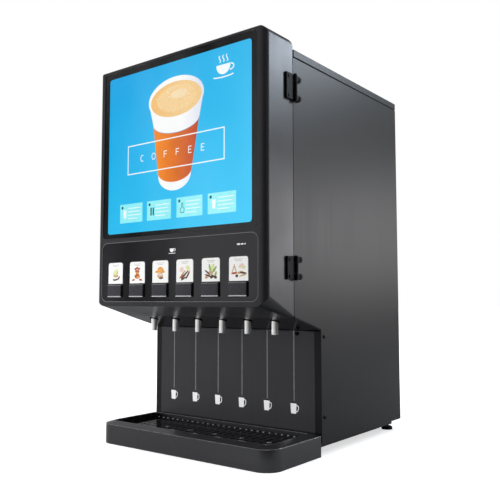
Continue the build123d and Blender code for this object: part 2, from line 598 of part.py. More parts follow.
door_outer = door_block(0.0, DOOR_FRONT_Y)
door_hollow = door_block(DOOR_WALL, DOOR_FRONT_Y + DOOR_FACE_T)
RECESS_T = PLATE_T + 0.3
OPENING_HALF = 221.0
SCREEN_Z0 = 488.0
SCREEN_Z1 = 873.0
BUTTON_BAY_HALF = 214.0
with BuildPart() as door_shell:
    add(door_outer)
    add(door_hollow, mode=Mode.SUBTRACT)
    # recess and light opening behind the glass
    with BuildSketch(front_plane(DOOR_FRONT_Y)):
        with Locations((0, (GLASS_Z0 + GLASS_Z1) / 2)):
            RectangleRounded(2 * GLASS_HALF + 0.6, GLASS_Z1 - GLASS_Z0 + 0.6, 9.3)
    extrude(amount=-RECESS_T, mode=Mode.SUBTRACT)
    block(-OPENING_HALF, OPENING_HALF, DOOR_FRONT_Y, DOOR_FRONT_Y + DOOR_FACE_T + 1, SCREEN_Z0, SCREEN_Z1,
          Mode.SUBTRACT)
    # recess and button opening behind the control panel
    with BuildSketch(front_plane(DOOR_FRONT_Y)):
        with Locations((0, (PANEL_Z0 + PANEL_Z1) / 2)):
            RectangleRounded(2 * PANEL_HALF + 0.6, PANEL_Z1 - PANEL_Z0 + 0.6, 16.3)
    extrude(amount=-RECESS_T, mode=Mode.SUBTRACT)
    block(-BUTTON_BAY_HALF, BUTTON_BAY_HALF, DOOR_FRONT_Y, DOOR_FRONT_Y + DOOR_FACE_T + 1, 337, 376,
          Mode.SUBTRACT)
    # hole for the lock
    rod_x(LOCK_X - 1, LOCK_X + DOOR_WALL + 1, LOCK_Y, LOCK_Z, 9.2, Mode.SUBTRACT)
door_shell.part.label = "door_shell"
export_step(door_shell.part, "parts/door_shell.step")

# Back cover closing the door's hollow, with a slot for the lock's cam
cover_form = door_block(DOOR_WALL + 0.3, DOOR_FRONT_Y + DOOR_FACE_T)
with BuildPart() as door_back_cover:
    add(cover_form)
    block(-300, 300, COVER_Y, COVER_Y + 2, 200, 900, Mode.INTERSECT)
    block(LOCK_X + 9, LOCK_X + 21, COVER_Y - 1, COVER_Y + 3, LOCK_Z - 42, LOCK_Z + 11, Mode.SUBTRACT)
door_back_cover.part.label = "door_back_cover"
export_step(door_back_cover.part, "parts/door_back_cover.step")

# Front glass and the printed picture sheet behind it
with BuildPart() as lightbox_glass:
    with BuildSketch(front_plane(DOOR_FRONT_Y)):
        with Locations((0, (GLASS_Z0 + GLASS_Z1) / 2)):
            RectangleRounded(2 * GLASS_HALF, GLASS_Z1 - GLASS_Z0, 9)
    extrude(amount=-PLATE_T)
lightbox_glass.part.label = "lightbox_glass"
export_step(lightbox_glass.part, "parts/lightbox_glass.step")

SHEET_GAP = 1.6
with BuildPart() as lightbox_sheet:
    with BuildSketch(front_plane(DOOR_FRONT_Y + PLATE_T + SHEET_GAP)):
        rect(-OPENING_HALF + 0.5, OPENING_HALF - 0.5, SCREEN_Z0 + 0.5, SCREEN_Z1 - 0.5)
    extrude(amount=-1.0)
lightbox_sheet.part.label = "lightbox_sheet"
export_step(lightbox_sheet.part, "parts/lightbox_sheet.step")

# LED strips on the back cover, each a narrow board with a row of LEDs
LED_COUNT = 14
with BuildPart() as led_strips:
    for strip_z in (540, 630, 720, 810):
        block(-205, 205, COVER_Y - 2, COVER_Y, strip_z - 6, strip_z + 6)
        for led in range(LED_COUNT):
            led_x = -195 + led * 390 / (LED_COUNT - 1)
            block(led_x - 3, led_x + 3, COVER_Y - 4, COVER_Y - 2, strip_z - 2.5, strip_z + 2.5)
led_strips.part.label = "led_strips"
export_step(led_strips.part, "parts/led_strips.step")

# Control panel: a glossy plate with a cut-out for each button
CUTOUT_GAP = 1.5
with BuildPart() as control_panel:
    with BuildSketch(front_plane(DOOR_FRONT_Y)):
        with Locations((0, (PANEL_Z0 + PANEL_Z1) / 2)):
            RectangleRounded(2 * PANEL_HALF, PANEL_Z1 - PANEL_Z0, 16)
        for x in BUTTON_X:
            with Locations((x, BUTTON_Z)):
                Rectangle(BUTTON_W + 2 * CUTOUT_GAP, BUTTON_H + 2 * CUTOUT_GAP, mode=Mode.SUBTRACT)
    extrude(amount=-PLATE_T)
control_panel.part.label = "control_panel"
export_step(control_panel.part, "parts/control_panel.step")

# Flavour cards above the buttons
with BuildPart() as flavour_cards:
    for x in BUTTON_X:
        with BuildSketch(front_plane(DOOR_FRONT_Y)) as card:
            rect(x - CARD_W / 2, x + CARD_W / 2, CARD_Z0, CARD_Z1)
            fillet(card.vertices().group_by(Axis.Y)[-1], radius=6)
        extrude(amount=0.6)
flavour_cards.part.label = "flavour_cards"
export_step(flavour_cards.part, "parts/flavour_cards.step")

# Buttons: a block with bevelled top and bottom, a retaining flange and a plunger
FLANGE_Y0 = DOOR_FRONT_Y + PLATE_T + 0.4
FLANGE_Y1 = FLANGE_Y0 + 2.0
SWITCH_FACE_Y = FLANGE_Y1 + 4.0 + BUTTON_TRAVEL + 0.4
for i, x in enumerate(BUTTON_X):
    with BuildPart() as button:
        block(x - BUTTON_W / 2, x + BUTTON_W / 2, DOOR_FRONT_Y - BUTTON_PROUD, FLANGE_Y0 + 0.5,
              BUTTON_Z - BUTTON_H / 2, BUTTON_Z + BUTTON_H / 2)
        front_edges = button.faces().sort_by(Axis.Y)[0].edges().filter_by(Axis.X)
        chamfer(front_edges, length=2.6)
        block(x - BUTTON_W / 2 - 3, x + BUTTON_W / 2 + 3, FLANGE_Y0, FLANGE_Y1,
              BUTTON_Z - BUTTON_H / 2 - 3, BUTTON_Z + BUTTON_H / 2 + 3)
        rod_y(x, FLANGE_Y1, FLANGE_Y1 + 4, BUTTON_Z, 3)
    button.part.label = f"button_{i + 1}"
    export_step(button.part, f"parts/button_{i + 1}.step")

# Switch board behind the buttons, on four posts
with BuildPart() as switch_board:
    block(-224, 224, SWITCH_FACE_Y + 4, SWITCH_FACE_Y + 5.6, 338, 375)
    for x in BUTTON_X:
        block(x - 4, x + 4, SWITCH_FACE_Y, SWITCH_FACE_Y + 4, BUTTON_Z - 4, BUTTON_Z + 4)
    for x in (-219, 219):
        for z in (343, 370):
            rod_y(x, DOOR_FRONT_Y + DOOR_FACE_T, SWITCH_FACE_Y + 4, z, 2.5)
switch_board.part.label = "switch_board"
export_step(switch_board.part, "parts/switch_board.step")

# Lock: barrel fixed in the door's side, key plug with its cam turning inside it
PLUG_R = 6.0
BARREL_X1 = LOCK_X + 14
with BuildPart() as lock_barrel:
    rod_x(LOCK_X - 3.5, LOCK_X, LOCK_Y, LOCK_Z, 12)
    rod_x(LOCK_X, BARREL_X1, LOCK_Y, LOCK_Z, 9)
    rod_x(LOCK_X - 4, BARREL_X1 + 1, LOCK_Y, LOCK_Z, PLUG_R + 0.06, Mode.SUBTRACT)
lock_barrel.part.label = "lock_barrel"
export_step(lock_barrel.part, "parts/lock_barrel.step")

CAM_LENGTH = 34.0
CAM_HALF_W = 6.0
CAM_X0 = BARREL_X1 + 0.5
with BuildPart() as lock_plug:
    rod_x(LOCK_X - 6, CAM_X0 + 2.5, LOCK_Y, LOCK_Z, PLUG_R)
    block(LOCK_X - 7, LOCK_X - 3, LOCK_Y - 0.6, LOCK_Y + 0.6, LOCK_Z - 3.5, LOCK_Z + 3.5, Mode.SUBTRACT)
    block(CAM_X0, CAM_X0 + 2.5, LOCK_Y - CAM_HALF_W, LOCK_Y + CAM_HALF_W, LOCK_Z - CAM_LENGTH, LOCK_Z)
lock_plug.part.label = "lock_plug"
export_step(lock_plug.part, "parts/lock_plug.step")

# Hinges: two lugs on the cabinet, a leaf with the middle knuckle on the door, one pin through them
LUG_SHARE = 0.26
with BuildPart() as cabinet_hinge_leaves:
    for low, high in HINGE_Z:
        lug_h = (high - low) * LUG_SHARE
        for z in (low, high - lug_h):
            block(HALF_W, HALF_W + LEAF_T, HINGE_Y + 1, HINGE_Y + 16, z, z + lug_h)
            rod_x(HALF_W, HALF_W + LEAF_T, HINGE_Y + 16, z + lug_h / 2, lug_h / 2)
            rod_z(HINGE_X, HINGE_Y, z, z + lug_h, KNUCKLE_R)
            rod_z(HINGE_X, HINGE_Y, z - 1, z + lug_h + 1, PIN_R + PIN_FIT, Mode.SUBTRACT)
cabinet_hinge_leaves.part.label = "cabinet_hinge_leaves"
export_step(cabinet_hinge_leaves.part, "parts/cabinet_hinge_leaves.step")

with BuildPart() as door_hinge_leaves:
    for low, high in HINGE_Z:
        lug_h = (high - low) * LUG_SHARE
        block(HALF_W, HALF_W + LEAF_T, HINGE_Y - 30, HINGE_Y - 7, low, high)
        block(HALF_W, HALF_W + LEAF_T, HINGE_Y - 7, HINGE_Y - 2, low + lug_h + 0.8, high - lug_h - 0.8)
        rod_z(HINGE_X, HINGE_Y, low + lug_h + 0.8, high - lug_h - 0.8, KNUCKLE_R)
        rod_z(HINGE_X, HINGE_Y, low, high, PIN_R + PIN_FIT, Mode.SUBTRACT)
        for screw_z in (low + 7, high - 7):
            rod_x(HALF_W + LEAF_T, HALF_W + LEAF_T + 1.5, HINGE_Y - 21, screw_z, 3.4)
door_hinge_leaves.part.label = "door_hinge_leaves"
export_step(door_hinge_leaves.part, "parts/door_hinge_leaves.step")

with BuildPart() as hinge_pins:
    for low, high in HINGE_Z:
        rod_z(HINGE_X, HINGE_Y, low - 1.5, high + 1.5, PIN_R)
        rod_z(HINGE_X, HINGE_Y, high, high + 2, PIN_R + 1.2)
        rod_z(HINGE_X, HINGE_Y, low - 2, low, PIN_R + 1.2)
hinge_pins.part.label = "hinge_pins"
export_step(hinge_pins.part, "parts/hinge_pins.step")

# ---------------------------------------------------------------- drip tray and grate


def tray_outline(inset):
    """The tray's plan drawn in by an inset, as a face on the XY plane."""
    with BuildSketch() as plan:
        rect(-HALF_W + inset, HALF_W - inset, TRAY_Y0 + inset, TRAY_Y1 - min(inset, TRAY_RIM))
        fillet(plan.vertices().group_by(Axis.Y)[0], radius=TRAY_CORNER_R - inset)
        fillet(plan.vertices().group_by(Axis.Y)[-1], radius=4)
    return plan.sketch


with BuildPart() as drip_tray:
    with BuildSketch():
        add(tray_outline(0))
    extrude(amount=TRAY_SIDE_Z)
    with BuildSketch(Plane.XY.offset(TRAY_SIDE_Z)):
        add(tray_outline(0))
    with BuildSketch(Plane.XY.offset(TRAY_LIP_Z)):
        add(tray_outline(TRAY_RIM))
    loft()
    with BuildSketch(Plane.XY.offset(GRATE_Z0)):
        add(tray_outline(TRAY_RIM + 2))
    extrude(amount=TRAY_LIP_Z, mode=Mode.SUBTRACT)
    with BuildSketch(Plane.XY.offset(3.0)):
        add(tray_outline(TRAY_TUB_IN + 3))
    extrude(amount=TRAY_LIP_Z, mode=Mode.SUBTRACT)
drip_tray.part.label = "drip_tray"
export_step(drip_tray.part, "parts/drip_tray.step")

SLOT_W = 4.5
SLOT_L = 30.0
with BuildPart() as drip_grate:
    with BuildSketch(Plane.XY.offset(GRATE_Z0)):
        add(tray_outline(TRAY_RIM + 2.6))
        with Locations((0, (TRAY_Y0 + TRAY_Y1) / 2 + 6)):
            with GridLocations(PITCH / 4, SLOT_L + 8, 22, 3):
                SlotOverall(SLOT_L, SLOT_W, rotation=90, mode=Mode.SUBTRACT)
    extrude(amount=GRATE_T)
drip_grate.part.label = "drip_grate"
export_step(drip_grate.part, "parts/drip_grate.step")
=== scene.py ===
import math
import random

import bmesh
import bpy
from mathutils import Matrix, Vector


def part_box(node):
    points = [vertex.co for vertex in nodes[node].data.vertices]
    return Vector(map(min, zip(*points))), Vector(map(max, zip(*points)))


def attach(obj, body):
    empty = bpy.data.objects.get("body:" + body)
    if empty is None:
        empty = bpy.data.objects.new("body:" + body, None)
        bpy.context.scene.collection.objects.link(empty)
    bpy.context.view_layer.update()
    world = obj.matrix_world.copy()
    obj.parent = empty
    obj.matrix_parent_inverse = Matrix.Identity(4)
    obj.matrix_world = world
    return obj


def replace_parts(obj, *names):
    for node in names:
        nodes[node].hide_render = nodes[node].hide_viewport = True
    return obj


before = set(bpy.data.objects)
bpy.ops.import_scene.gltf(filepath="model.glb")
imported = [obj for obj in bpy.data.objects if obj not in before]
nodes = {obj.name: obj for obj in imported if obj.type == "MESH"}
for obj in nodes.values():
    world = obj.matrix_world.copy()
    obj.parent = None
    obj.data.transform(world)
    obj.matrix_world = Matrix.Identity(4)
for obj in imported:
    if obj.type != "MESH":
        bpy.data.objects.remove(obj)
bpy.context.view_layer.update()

# ---------------------------------------------------------------- studio
# The machine stands on a pale matt floor in a dim grey room. Broad soft panels stand behind it on the right,
# where the satin side mirrors them, in front on the left and overhead. To the front right the room is dark.
# For the camera the floor glows white, dimmer near the machine: painted light with a painted shade round it.
# For bounced light the floor's colour is painted darker to the front right and to the left: painted shade.
MM = 0.001
scene = bpy.context.scene
scene.view_settings.view_transform = "Standard"


def node(tree, kind, inputs=None, **settings):
    """A shader node with its settings, its input values and its incoming links."""
    made = tree.nodes.new(kind)
    for key, value in settings.items():
        setattr(made, key, value)
    for key, value in (inputs or {}).items():
        if isinstance(value, bpy.types.NodeSocket):
            tree.links.new(value, made.inputs[key])
        else:
            made.inputs[key].default_value = value
    return made


def screen_colour(red, green, blue):
    """A colour given as it looks on a screen, 0 to 255, turned into linear light."""
    parts = [c / 255 for c in (red, green, blue)]
    return tuple(c / 12.92 if c < 0.04 else ((c + 0.055) / 1.055) ** 2.4 for c in parts) + (1.0,)


def blended(tree, share, first, second):
    """The colour socket of a mix between two colours or colour sockets."""
    return node(tree, "ShaderNodeMix", {0: share, 6: first, 7: second}, data_type="RGBA").outputs[2]


def remapped(tree, value, low, high, to_low, to_high):
    """The value socket of a clamped change of range."""
    return node(tree, "ShaderNodeMapRange", {0: value, 1: low, 2: high, 3: to_low, 4: to_high}).outputs[0]


def blank_material(name):
    """A new material with an empty node tree, and that tree."""
    made = bpy.data.materials.new(name)
    made.use_nodes = True
    made.node_tree.nodes.clear()
    return made, made.node_tree


def object_place(tree):
    """The socket that gives each point's place in the machine's own frame, in metres."""
    return node(tree, "ShaderNodeTexCoord").outputs["Object"]


camera_data = bpy.data.cameras.new("front_right_view")
camera_data.sensor_width = 36.0
camera_data.lens = 47.42
camera = bpy.data.objects.new("front_right_view", camera_data)
camera.location = (1.0041, -1.3363, 0.3327)
camera.rotation_euler = (math.radians(94.43), math.radians(0.04), math.radians(37.49))
scene.collection.objects.link(camera)
scene.camera = camera

# place, target, width, height, power, tint, and whether it shows in mirror-like surfaces
LIGHTS = {
    "back_right_panel": ((2.4, 2.4, 0.80), (0.1, 0.1, 0.5), 2.2, 0.8, 23.0, (1.0, 0.99, 1.0), True),
    "high_right_panel": ((1.7, 1.8, 1.95), (0.25, -0.25, 0.8), 0.7, 0.6, 21.0, (0.80, 0.90, 1.0), True),
    "low_front_left_panel": ((-1.02, -2.0, 0.14), (0.0, 0.0, 0.22), 0.5, 0.22, 32.0, (1.0, 1.0, 1.0), False),
    "front_left_panel": ((-2.7, -2.3, 0.9), (0.0, 0.0, 0.4), 1.8, 1.0, 40.0, (1.0, 1.0, 1.0), False),
    "overhead_panel": ((0.0, -0.2, 3.0), (0.0, 0.0, 0.4), 2.6, 2.6, 40.0, (1.0, 1.0, 1.0), True),
}
for light_name, (place, target, width, height, power, tint, mirrored) in LIGHTS.items():
    light_data = bpy.data.lights.new(light_name, "AREA")
    light_data.shape = "RECTANGLE"
    light_data.size = width
    light_data.size_y = height
    light_data.energy = power
    light_data.color = tint
    light = bpy.data.objects.new(light_name, light_data)
    light.location = place
    light.rotation_mode = "QUATERNION"
    light.rotation_quaternion = (Vector(target) - Vector(place)).to_track_quat("-Z", "Y")
    light.visible_glossy = mirrored
    light.visible_transmission = mirrored
    scene.collection.objects.link(light)

world = bpy.data.worlds.new("grey_room")
scene.world = world
world.use_nodes = True
world.node_tree.nodes.clear()
direction = node(world.node_tree, "ShaderNodeTexCoord").outputs["Generated"]
facing = node(world.node_tree, "ShaderNodeSeparateXYZ", {0: direction})
rear_share = remapped(world.node_tree, facing.outputs["Y"], -0.7, 0.9, 0.0, 1.0)
upright = node(world.node_tree, "ShaderNodeVectorMath", {0: direction, 1: (3.2, 3.2, 0.5)},
               operation="MULTIPLY")
bays = node(world.node_tree, "ShaderNodeTexNoise",
            {"Vector": upright.outputs[0], "Scale": 2.6, "Detail": 2.0})
bay_share = remapped(world.node_tree, bays.outputs[0], 0.42, 0.62, 0.0, 1.0)
front_tone = blended(world.node_tree, bay_share, (0.04, 0.04, 0.042, 1), (0.42, 0.42, 0.44, 1))
FRONT_RIGHT = (0.62, -0.78, 0.0)
toward = node(world.node_tree, "ShaderNodeVectorMath", {0: direction, 1: FRONT_RIGHT},
              operation="DOT_PRODUCT").outputs["Value"]
dark_share = remapped(world.node_tree, toward, 0.70, 0.94, 0.0, 0.92)
front_tone = blended(world.node_tree, dark_share, front_tone, (0.006, 0.006, 0.006, 1))
room_tone = blended(world.node_tree, rear_share, front_tone, (0.26, 0.26, 0.27, 1))
seen = node(world.node_tree, "ShaderNodeLightPath").outputs["Is Camera Ray"]
room = node(world.node_tree, "ShaderNodeBackground",
            {"Color": blended(world.node_tree, seen, room_tone, (1.0, 1.0, 1.0, 1))})
node(world.node_tree, "ShaderNodeOutputWorld", {"Surface": room.outputs[0]})

REACH = 30.0
FLOOR_DROP = 0.0004
floor_mesh = bpy.data.meshes.new("floor")
floor_mesh.from_pydata([(-REACH, -REACH, 0), (REACH, -REACH, 0), (REACH, REACH, 0), (-REACH, REACH, 0)], [],
                       [(0, 1, 2, 3)])
floor = bpy.data.objects.new("floor", floor_mesh)
floor.location.z = -FLOOR_DROP
scene.collection.objects.link(floor)
floor_paint, paint_tree = blank_material("floor_paint")
spots = node(paint_tree, "ShaderNodeTexNoise", {"Scale": 3.0})
pale = blended(paint_tree, spots.outputs[0], (0.93, 0.93, 0.93, 1), (0.96, 0.96, 0.96, 1))
bright = node(paint_tree, "ShaderNodeBsdfDiffuse", {"Color": pale})
floor_place = object_place(paint_tree)
floor_side = node(paint_tree, "ShaderNodeSeparateXYZ", {0: floor_place}).outputs["X"]
# Painted shade: the floor's colour for bounced and mirrored light runs darker to the left and is near black
# to the front right.
floor_painted_shade_tone = blended(paint_tree, remapped(paint_tree, floor_side, -0.45, 0.15, 0.0, 1.0), (0.38, 0.38, 0.38, 1),
                   (0.56, 0.56, 0.56, 1))
to_front_right = node(paint_tree, "ShaderNodeVectorMath", {0: floor_place, 1: FRONT_RIGHT},
                      operation="DOT_PRODUCT").outputs["Value"]
floor_painted_shade_tone = blended(paint_tree, remapped(paint_tree, to_front_right, 0.46, 0.54, 0.0, 1.0), floor_painted_shade_tone,
                   (0.04, 0.04, 0.04, 1))
floor_painted_shade = node(paint_tree, "ShaderNodeBsdfDiffuse", {"Color": floor_painted_shade_tone})
away = node(paint_tree, "ShaderNodeVectorMath", {0: floor_place}, operation="LENGTH").outputs["Value"]
# Painted light: the floor glows for the camera, at 0.62 within 0.4 m of the machine and rising to full by 1.6
# m, a painted shade round the machine.
painted_glow_fade = blended(paint_tree, remapped(paint_tree, away, 0.4, 1.6, 0.0, 1.0), (0.62, 0.62, 0.62, 1),
               (1.0, 1.0, 1.0, 1))
floor_painted_glow = node(paint_tree, "ShaderNodeEmission", {"Color": painted_glow_fade})
painted_lit_floor = node(paint_tree, "ShaderNodeAddShader", {0: bright.outputs[0], 1: floor_painted_glow.outputs[0]})
for_camera = node(paint_tree, "ShaderNodeLightPath").outputs["Is Camera Ray"]
floor_mix = node(paint_tree, "ShaderNodeMixShader", {0: for_camera, 1: floor_painted_shade.outputs[0], 2: painted_lit_floor.outputs[0]})
node(paint_tree, "ShaderNodeOutputMaterial", {"Surface": floor_mix.outputs[0]})
floor_mesh.materials.append(floor_paint)

# ---------------------------------------------------------------- cabinet sheets
# The cabinet is folded 1.5 mm sheet steel with a dark satin coat over a faintly drawn surface. The edges of
# the folds are rubbed paler, and a little dust lies on what faces up.


def effect(name, inputs, outputs):
    """A shader group with named sockets: its tree, its input node and its output node."""
    tree = bpy.data.node_groups.new(name, "ShaderNodeTree")
    for label, value in inputs.items():
        kind = "NodeSocketVector" if isinstance(value, tuple) else "NodeSocketFloat"
        socket = tree.interface.new_socket(name=label, in_out="INPUT", socket_type=kind)
        socket.default_value = value
    for label, kind in outputs.items():
        tree.interface.new_socket(name=label, in_out="OUTPUT", socket_type=kind)
    return tree, tree.nodes.new("NodeGroupInput"), tree.nodes.new("NodeGroupOutput")


FLOAT = "NodeSocketFloat"
coat_grain, grain_in, grain_out = effect("coat_grain", {"Grain": 900.0, "Cloud": 9.0},
                                         {"Height": FLOAT, "Cloud": FLOAT})
grain_place = object_place(coat_grain)
fine_noise = node(coat_grain, "ShaderNodeTexNoise",
                  {"Vector": grain_place, "Scale": grain_in.outputs["Grain"], "Detail": 3.0})
broad_noise = node(coat_grain, "ShaderNodeTexNoise",
                   {"Vector": grain_place, "Scale": grain_in.outputs["Cloud"], "Detail": 5.0})
coat_grain.links.new(fine_noise.outputs[0], grain_out.inputs["Height"])
coat_grain.links.new(broad_noise.outputs[0], grain_out.inputs["Cloud"])

# Edge mask, used for rubbed wear and, on finishes that give their own edge tone, for painted highlight lines.
rubbed_and_highlit_edges, rub_in, rub_out = effect("rubbed_and_highlit_edges", {"Width": 0.0008, "Amount": 0.3},
                                       {"Mask": FLOAT, "Rounded": "NodeSocketVector"})
rounded = node(rubbed_and_highlit_edges, "ShaderNodeBevel", {"Radius": rub_in.outputs["Width"]}, samples=4).outputs[0]
flat_normal = node(rubbed_and_highlit_edges, "ShaderNodeNewGeometry").outputs["Normal"]
turned_away = node(rubbed_and_highlit_edges, "ShaderNodeVectorMath", {0: rounded, 1: flat_normal},
                   operation="DOT_PRODUCT")
edge_share = remapped(rubbed_and_highlit_edges, turned_away.outputs["Value"], 0.99, 0.80, 0.0, 1.0)
rub_place = object_place(rubbed_and_highlit_edges)
rub_noise = node(rubbed_and_highlit_edges, "ShaderNodeTexNoise", {"Vector": rub_place, "Scale": 60.0, "Detail": 4.0})
rub_patch = remapped(rubbed_and_highlit_edges, rub_noise.outputs[0], 0.35, 0.65, 0.35, 1.0)
rub_part = node(rubbed_and_highlit_edges, "ShaderNodeMath", {0: edge_share, 1: rub_patch}, operation="MULTIPLY")
edge_wear_and_highlight_mask = node(rubbed_and_highlit_edges, "ShaderNodeMath", {0: rub_part.outputs[0], 1: rub_in.outputs["Amount"]},
                operation="MULTIPLY")
rubbed_and_highlit_edges.links.new(edge_wear_and_highlight_mask.outputs[0], rub_out.inputs["Mask"])
rubbed_and_highlit_edges.links.new(rounded, rub_out.inputs["Rounded"])

settled_dust, dust_in, dust_out = effect("settled_dust", {"Amount": 0.1}, {"Mask": FLOAT})
dust_normal = node(settled_dust, "ShaderNodeNewGeometry").outputs["Normal"]
dust_up = remapped(settled_dust, node(settled_dust, "ShaderNodeSeparateXYZ", {0: dust_normal}).outputs["Z"],
                   0.4, 1.0, 0.0, 1.0)
dust_place = object_place(settled_dust)
dust_noise = node(settled_dust, "ShaderNodeTexNoise", {"Vector": dust_place, "Scale": 35.0, "Detail": 6.0})
dust_patch = remapped(settled_dust, dust_noise.outputs[0], 0.35, 0.7, 0.2, 1.0)
dust_part = node(settled_dust, "ShaderNodeMath", {0: dust_up, 1: dust_patch}, operation="MULTIPLY")
dust_mask = node(settled_dust, "ShaderNodeMath", {0: dust_part.outputs[0], 1: dust_in.outputs["Amount"]},
                 operation="MULTIPLY")
settled_dust.links.new(dust_mask.outputs[0], dust_out.inputs["Mask"])

drawn_lines, lines_in, lines_out = effect("drawn_lines", {"Stretch": (900.0, 900.0, 6.0)},
                                          {"Shade": FLOAT, "Height": FLOAT})
lines_place = object_place(drawn_lines)
stretched = node(drawn_lines, "ShaderNodeVectorMath", {0: lines_place, 1: lines_in.outputs["Stretch"]},
                 operation="MULTIPLY").outputs[0]
lines_noise = node(drawn_lines, "ShaderNodeTexNoise", {"Vector": stretched, "Scale": 1.0, "Detail": 2.0})
drawn_lines.links.new(remapped(drawn_lines, lines_noise.outputs[0], 0.3, 0.7, 0.0, 1.0),
                      lines_out.inputs["Shade"])
drawn_lines.links.new(lines_noise.outputs[0], lines_out.inputs["Height"])


def placed(tree, group, **values):
    """A shader group put into a material with its own values."""
    made = tree.nodes.new("ShaderNodeGroup")
    made.node_tree = group
    for label, value in values.items():
        made.inputs[label].default_value = value
    return made.outputs


def shaded(tone, share):
    """A colour made lighter or darker by a share of itself."""
    return tuple(min(1.0, c * (1 + share)) for c in tone[:3]) + (1.0,)


def principled(tree, inputs, sockets):
    """Ends a material with one Principled shader: linked inputs, then plain socket values."""
    shader = node(tree, "ShaderNodeBsdfPrincipled", inputs)
    for label, value in sockets.items():
        shader.inputs[label.replace("_", " ")].default_value = value
    node(tree, "ShaderNodeOutputMaterial", {"Surface": shader.outputs[0]})


def coated(name, tone, rough, grain=(900.0, 0.012), cloud=0.10, edge=(0.8, 0.30), dust=0.08, lines=None,
           line_share=0.10, painted_highlight_tone=None, **sockets):
    """A coated, moulded or drawn surface: uneven tone, grain, dust, and rubbed edges, painted as a highlight
    if given an edge tone.
    """
    made, tree = blank_material(name)
    surface = placed(tree, coat_grain, Grain=grain[0])
    edge_wear_and_highlight = placed(tree, rubbed_and_highlit_edges, Width=edge[0] * MM, Amount=edge[1])
    colour = blended(tree, surface["Cloud"], shaded(tone, -cloud), shaded(tone, cloud))
    roughness = remapped(tree, surface["Cloud"], 0.3, 0.7, max(rough - 0.04, 0.01), rough + 0.05)
    height = surface["Height"]
    if lines:
        drawn = placed(tree, drawn_lines, Stretch=lines)
        darker = blended(tree, surface["Cloud"], shaded(tone, -cloud - line_share), shaded(tone, -line_share))
        colour = blended(tree, drawn["Shade"], darker, colour)
        roughness = remapped(tree, drawn["Shade"], 0.0, 1.0, max(rough - 0.05, 0.01), rough + 0.06)
        height = drawn["Height"]
    # Edges turn paler: rubbed wear with the default tone, a painted highlight line where an edge tone is
    # given.
    colour = blended(tree, edge_wear_and_highlight["Mask"], colour, painted_highlight_tone or shaded(tone, 1.6))
    if dust:
        colour = blended(tree, placed(tree, settled_dust, Amount=dust)["Mask"], colour, (0.42, 0.40, 0.38, 1))
    bump = node(tree, "ShaderNodeBump",
                {"Height": height, "Normal": edge_wear_and_highlight["Rounded"], "Distance": grain[1] * MM, "Strength": 1.0})
    principled(tree, {"Base Color": colour, "Roughness": roughness, "Normal": bump.outputs[0]}, sockets)
    return made


def dress(material, *names):
    """Gives CAD nodes their finished material."""
    for name in names:
        slots = nodes[name].material_slots
        if not slots:
            nodes[name].data.materials.append(material)
        for slot in slots:
            slot.material = material


VERTICAL_DRAW = (1100.0, 1100.0, 5.0)
cabinet_coat = coated("satin_cabinet_coat", (0.026, 0.026, 0.027, 1), 0.36, lines=VERTICAL_DRAW,
                      line_share=0.16, Metallic=0.55)
lid_coat = coated("satin_lid_coat", (0.030, 0.030, 0.032, 1), 0.38, lines=(5.0, 1100.0, 1100.0),
                  line_share=0.12, dust=0.05, Metallic=0.5)
dress(cabinet_coat, "left_side_panel", "right_side_panel", "back_panel", "base_pan")
dress(lid_coat, "top_lid")

# ---------------------------------------------------------------- lid seal and feet
# A black rubber strip closes the joint under the lid. The four levelling feet are rubber pads on threaded
# stems with a lock nut each.
rubber = coated("black_rubber", (0.004, 0.004, 0.004, 1), 0.7, grain=(600.0, 0.03), edge=(0.6, 0.1), dust=0.1,
                Specular_IOR_Level=0.15)
dress(rubber, "lid_seal", "levelling_feet")

# ---------------------------------------------------------------- underside over the cups
# A glossy black moulded panel slopes down to the rear over the cups. Each outlet comes through it in a
# rubber grommet.


def box_mm(name):
    """The lowest and highest corner of a CAD node in millimetres."""
    low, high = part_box(name)
    return low / MM, high / MM


def turned(bm, axis, centre, profile, steps=32, material=0, closed=False, lobes=0):
    """A turned body: profile holds (distance along the axis, radius) pairs in millimetres."""
    axis = Vector(axis).normalized()
    side = axis.orthogonal().normalized()
    up = axis.cross(side)
    rings = []
    for along, radius in profile:
        ring = []
        for step in range(steps):
            turn = 2 * math.pi * step / steps
            reach = abs(radius) * (1 + 0.14 * math.cos(lobes * turn) if lobes and radius < 0 else 1)
            spoke = side * math.cos(turn) + up * math.sin(turn)
            ring.append(bm.verts.new((Vector(centre) + axis * along + spoke * reach) * MM))
        rings.append(ring)
    faces = []
    for first, second in zip(rings, rings[1:] + (rings[:1] if closed else [])):
        for k in range(steps):
            after = (k + 1) % steps
            faces.append(bm.faces.new((first[k], first[after], second[after], second[k])))
    if not closed:
        faces.append(bm.faces.new(rings[0][::-1]))
        faces.append(bm.faces.new(rings[-1]))
    for face in faces:
        face.material_index = material


def finished(name, bm, body, slot, *materials, smooth=True):
    """Turns a bmesh into a piece that rides on its body, with its materials; the slot is not used."""
    bmesh.ops.recalc_face_normals(bm, faces=bm.faces)
    mesh = bpy.data.meshes.new(name)
    bm.to_mesh(mesh)
    bm.free()
    for material in materials:
        mesh.materials.append(material)
    if smooth:
        mesh.shade_smooth()
        mesh.set_sharp_from_angle(angle=math.radians(38))
    piece = bpy.data.objects.new(name, mesh)
    scene.collection.objects.link(piece)
    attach(piece, body)
    return piece


gloss_black = coated("gloss_black_moulding", (0.004, 0.004, 0.005, 1), 0.16, grain=(260.0, 0.006), cloud=0.2,
                     edge=(1.0, 0.35), dust=0.0, Specular_IOR_Level=0.36)
dress(gloss_black, "underside_panel")

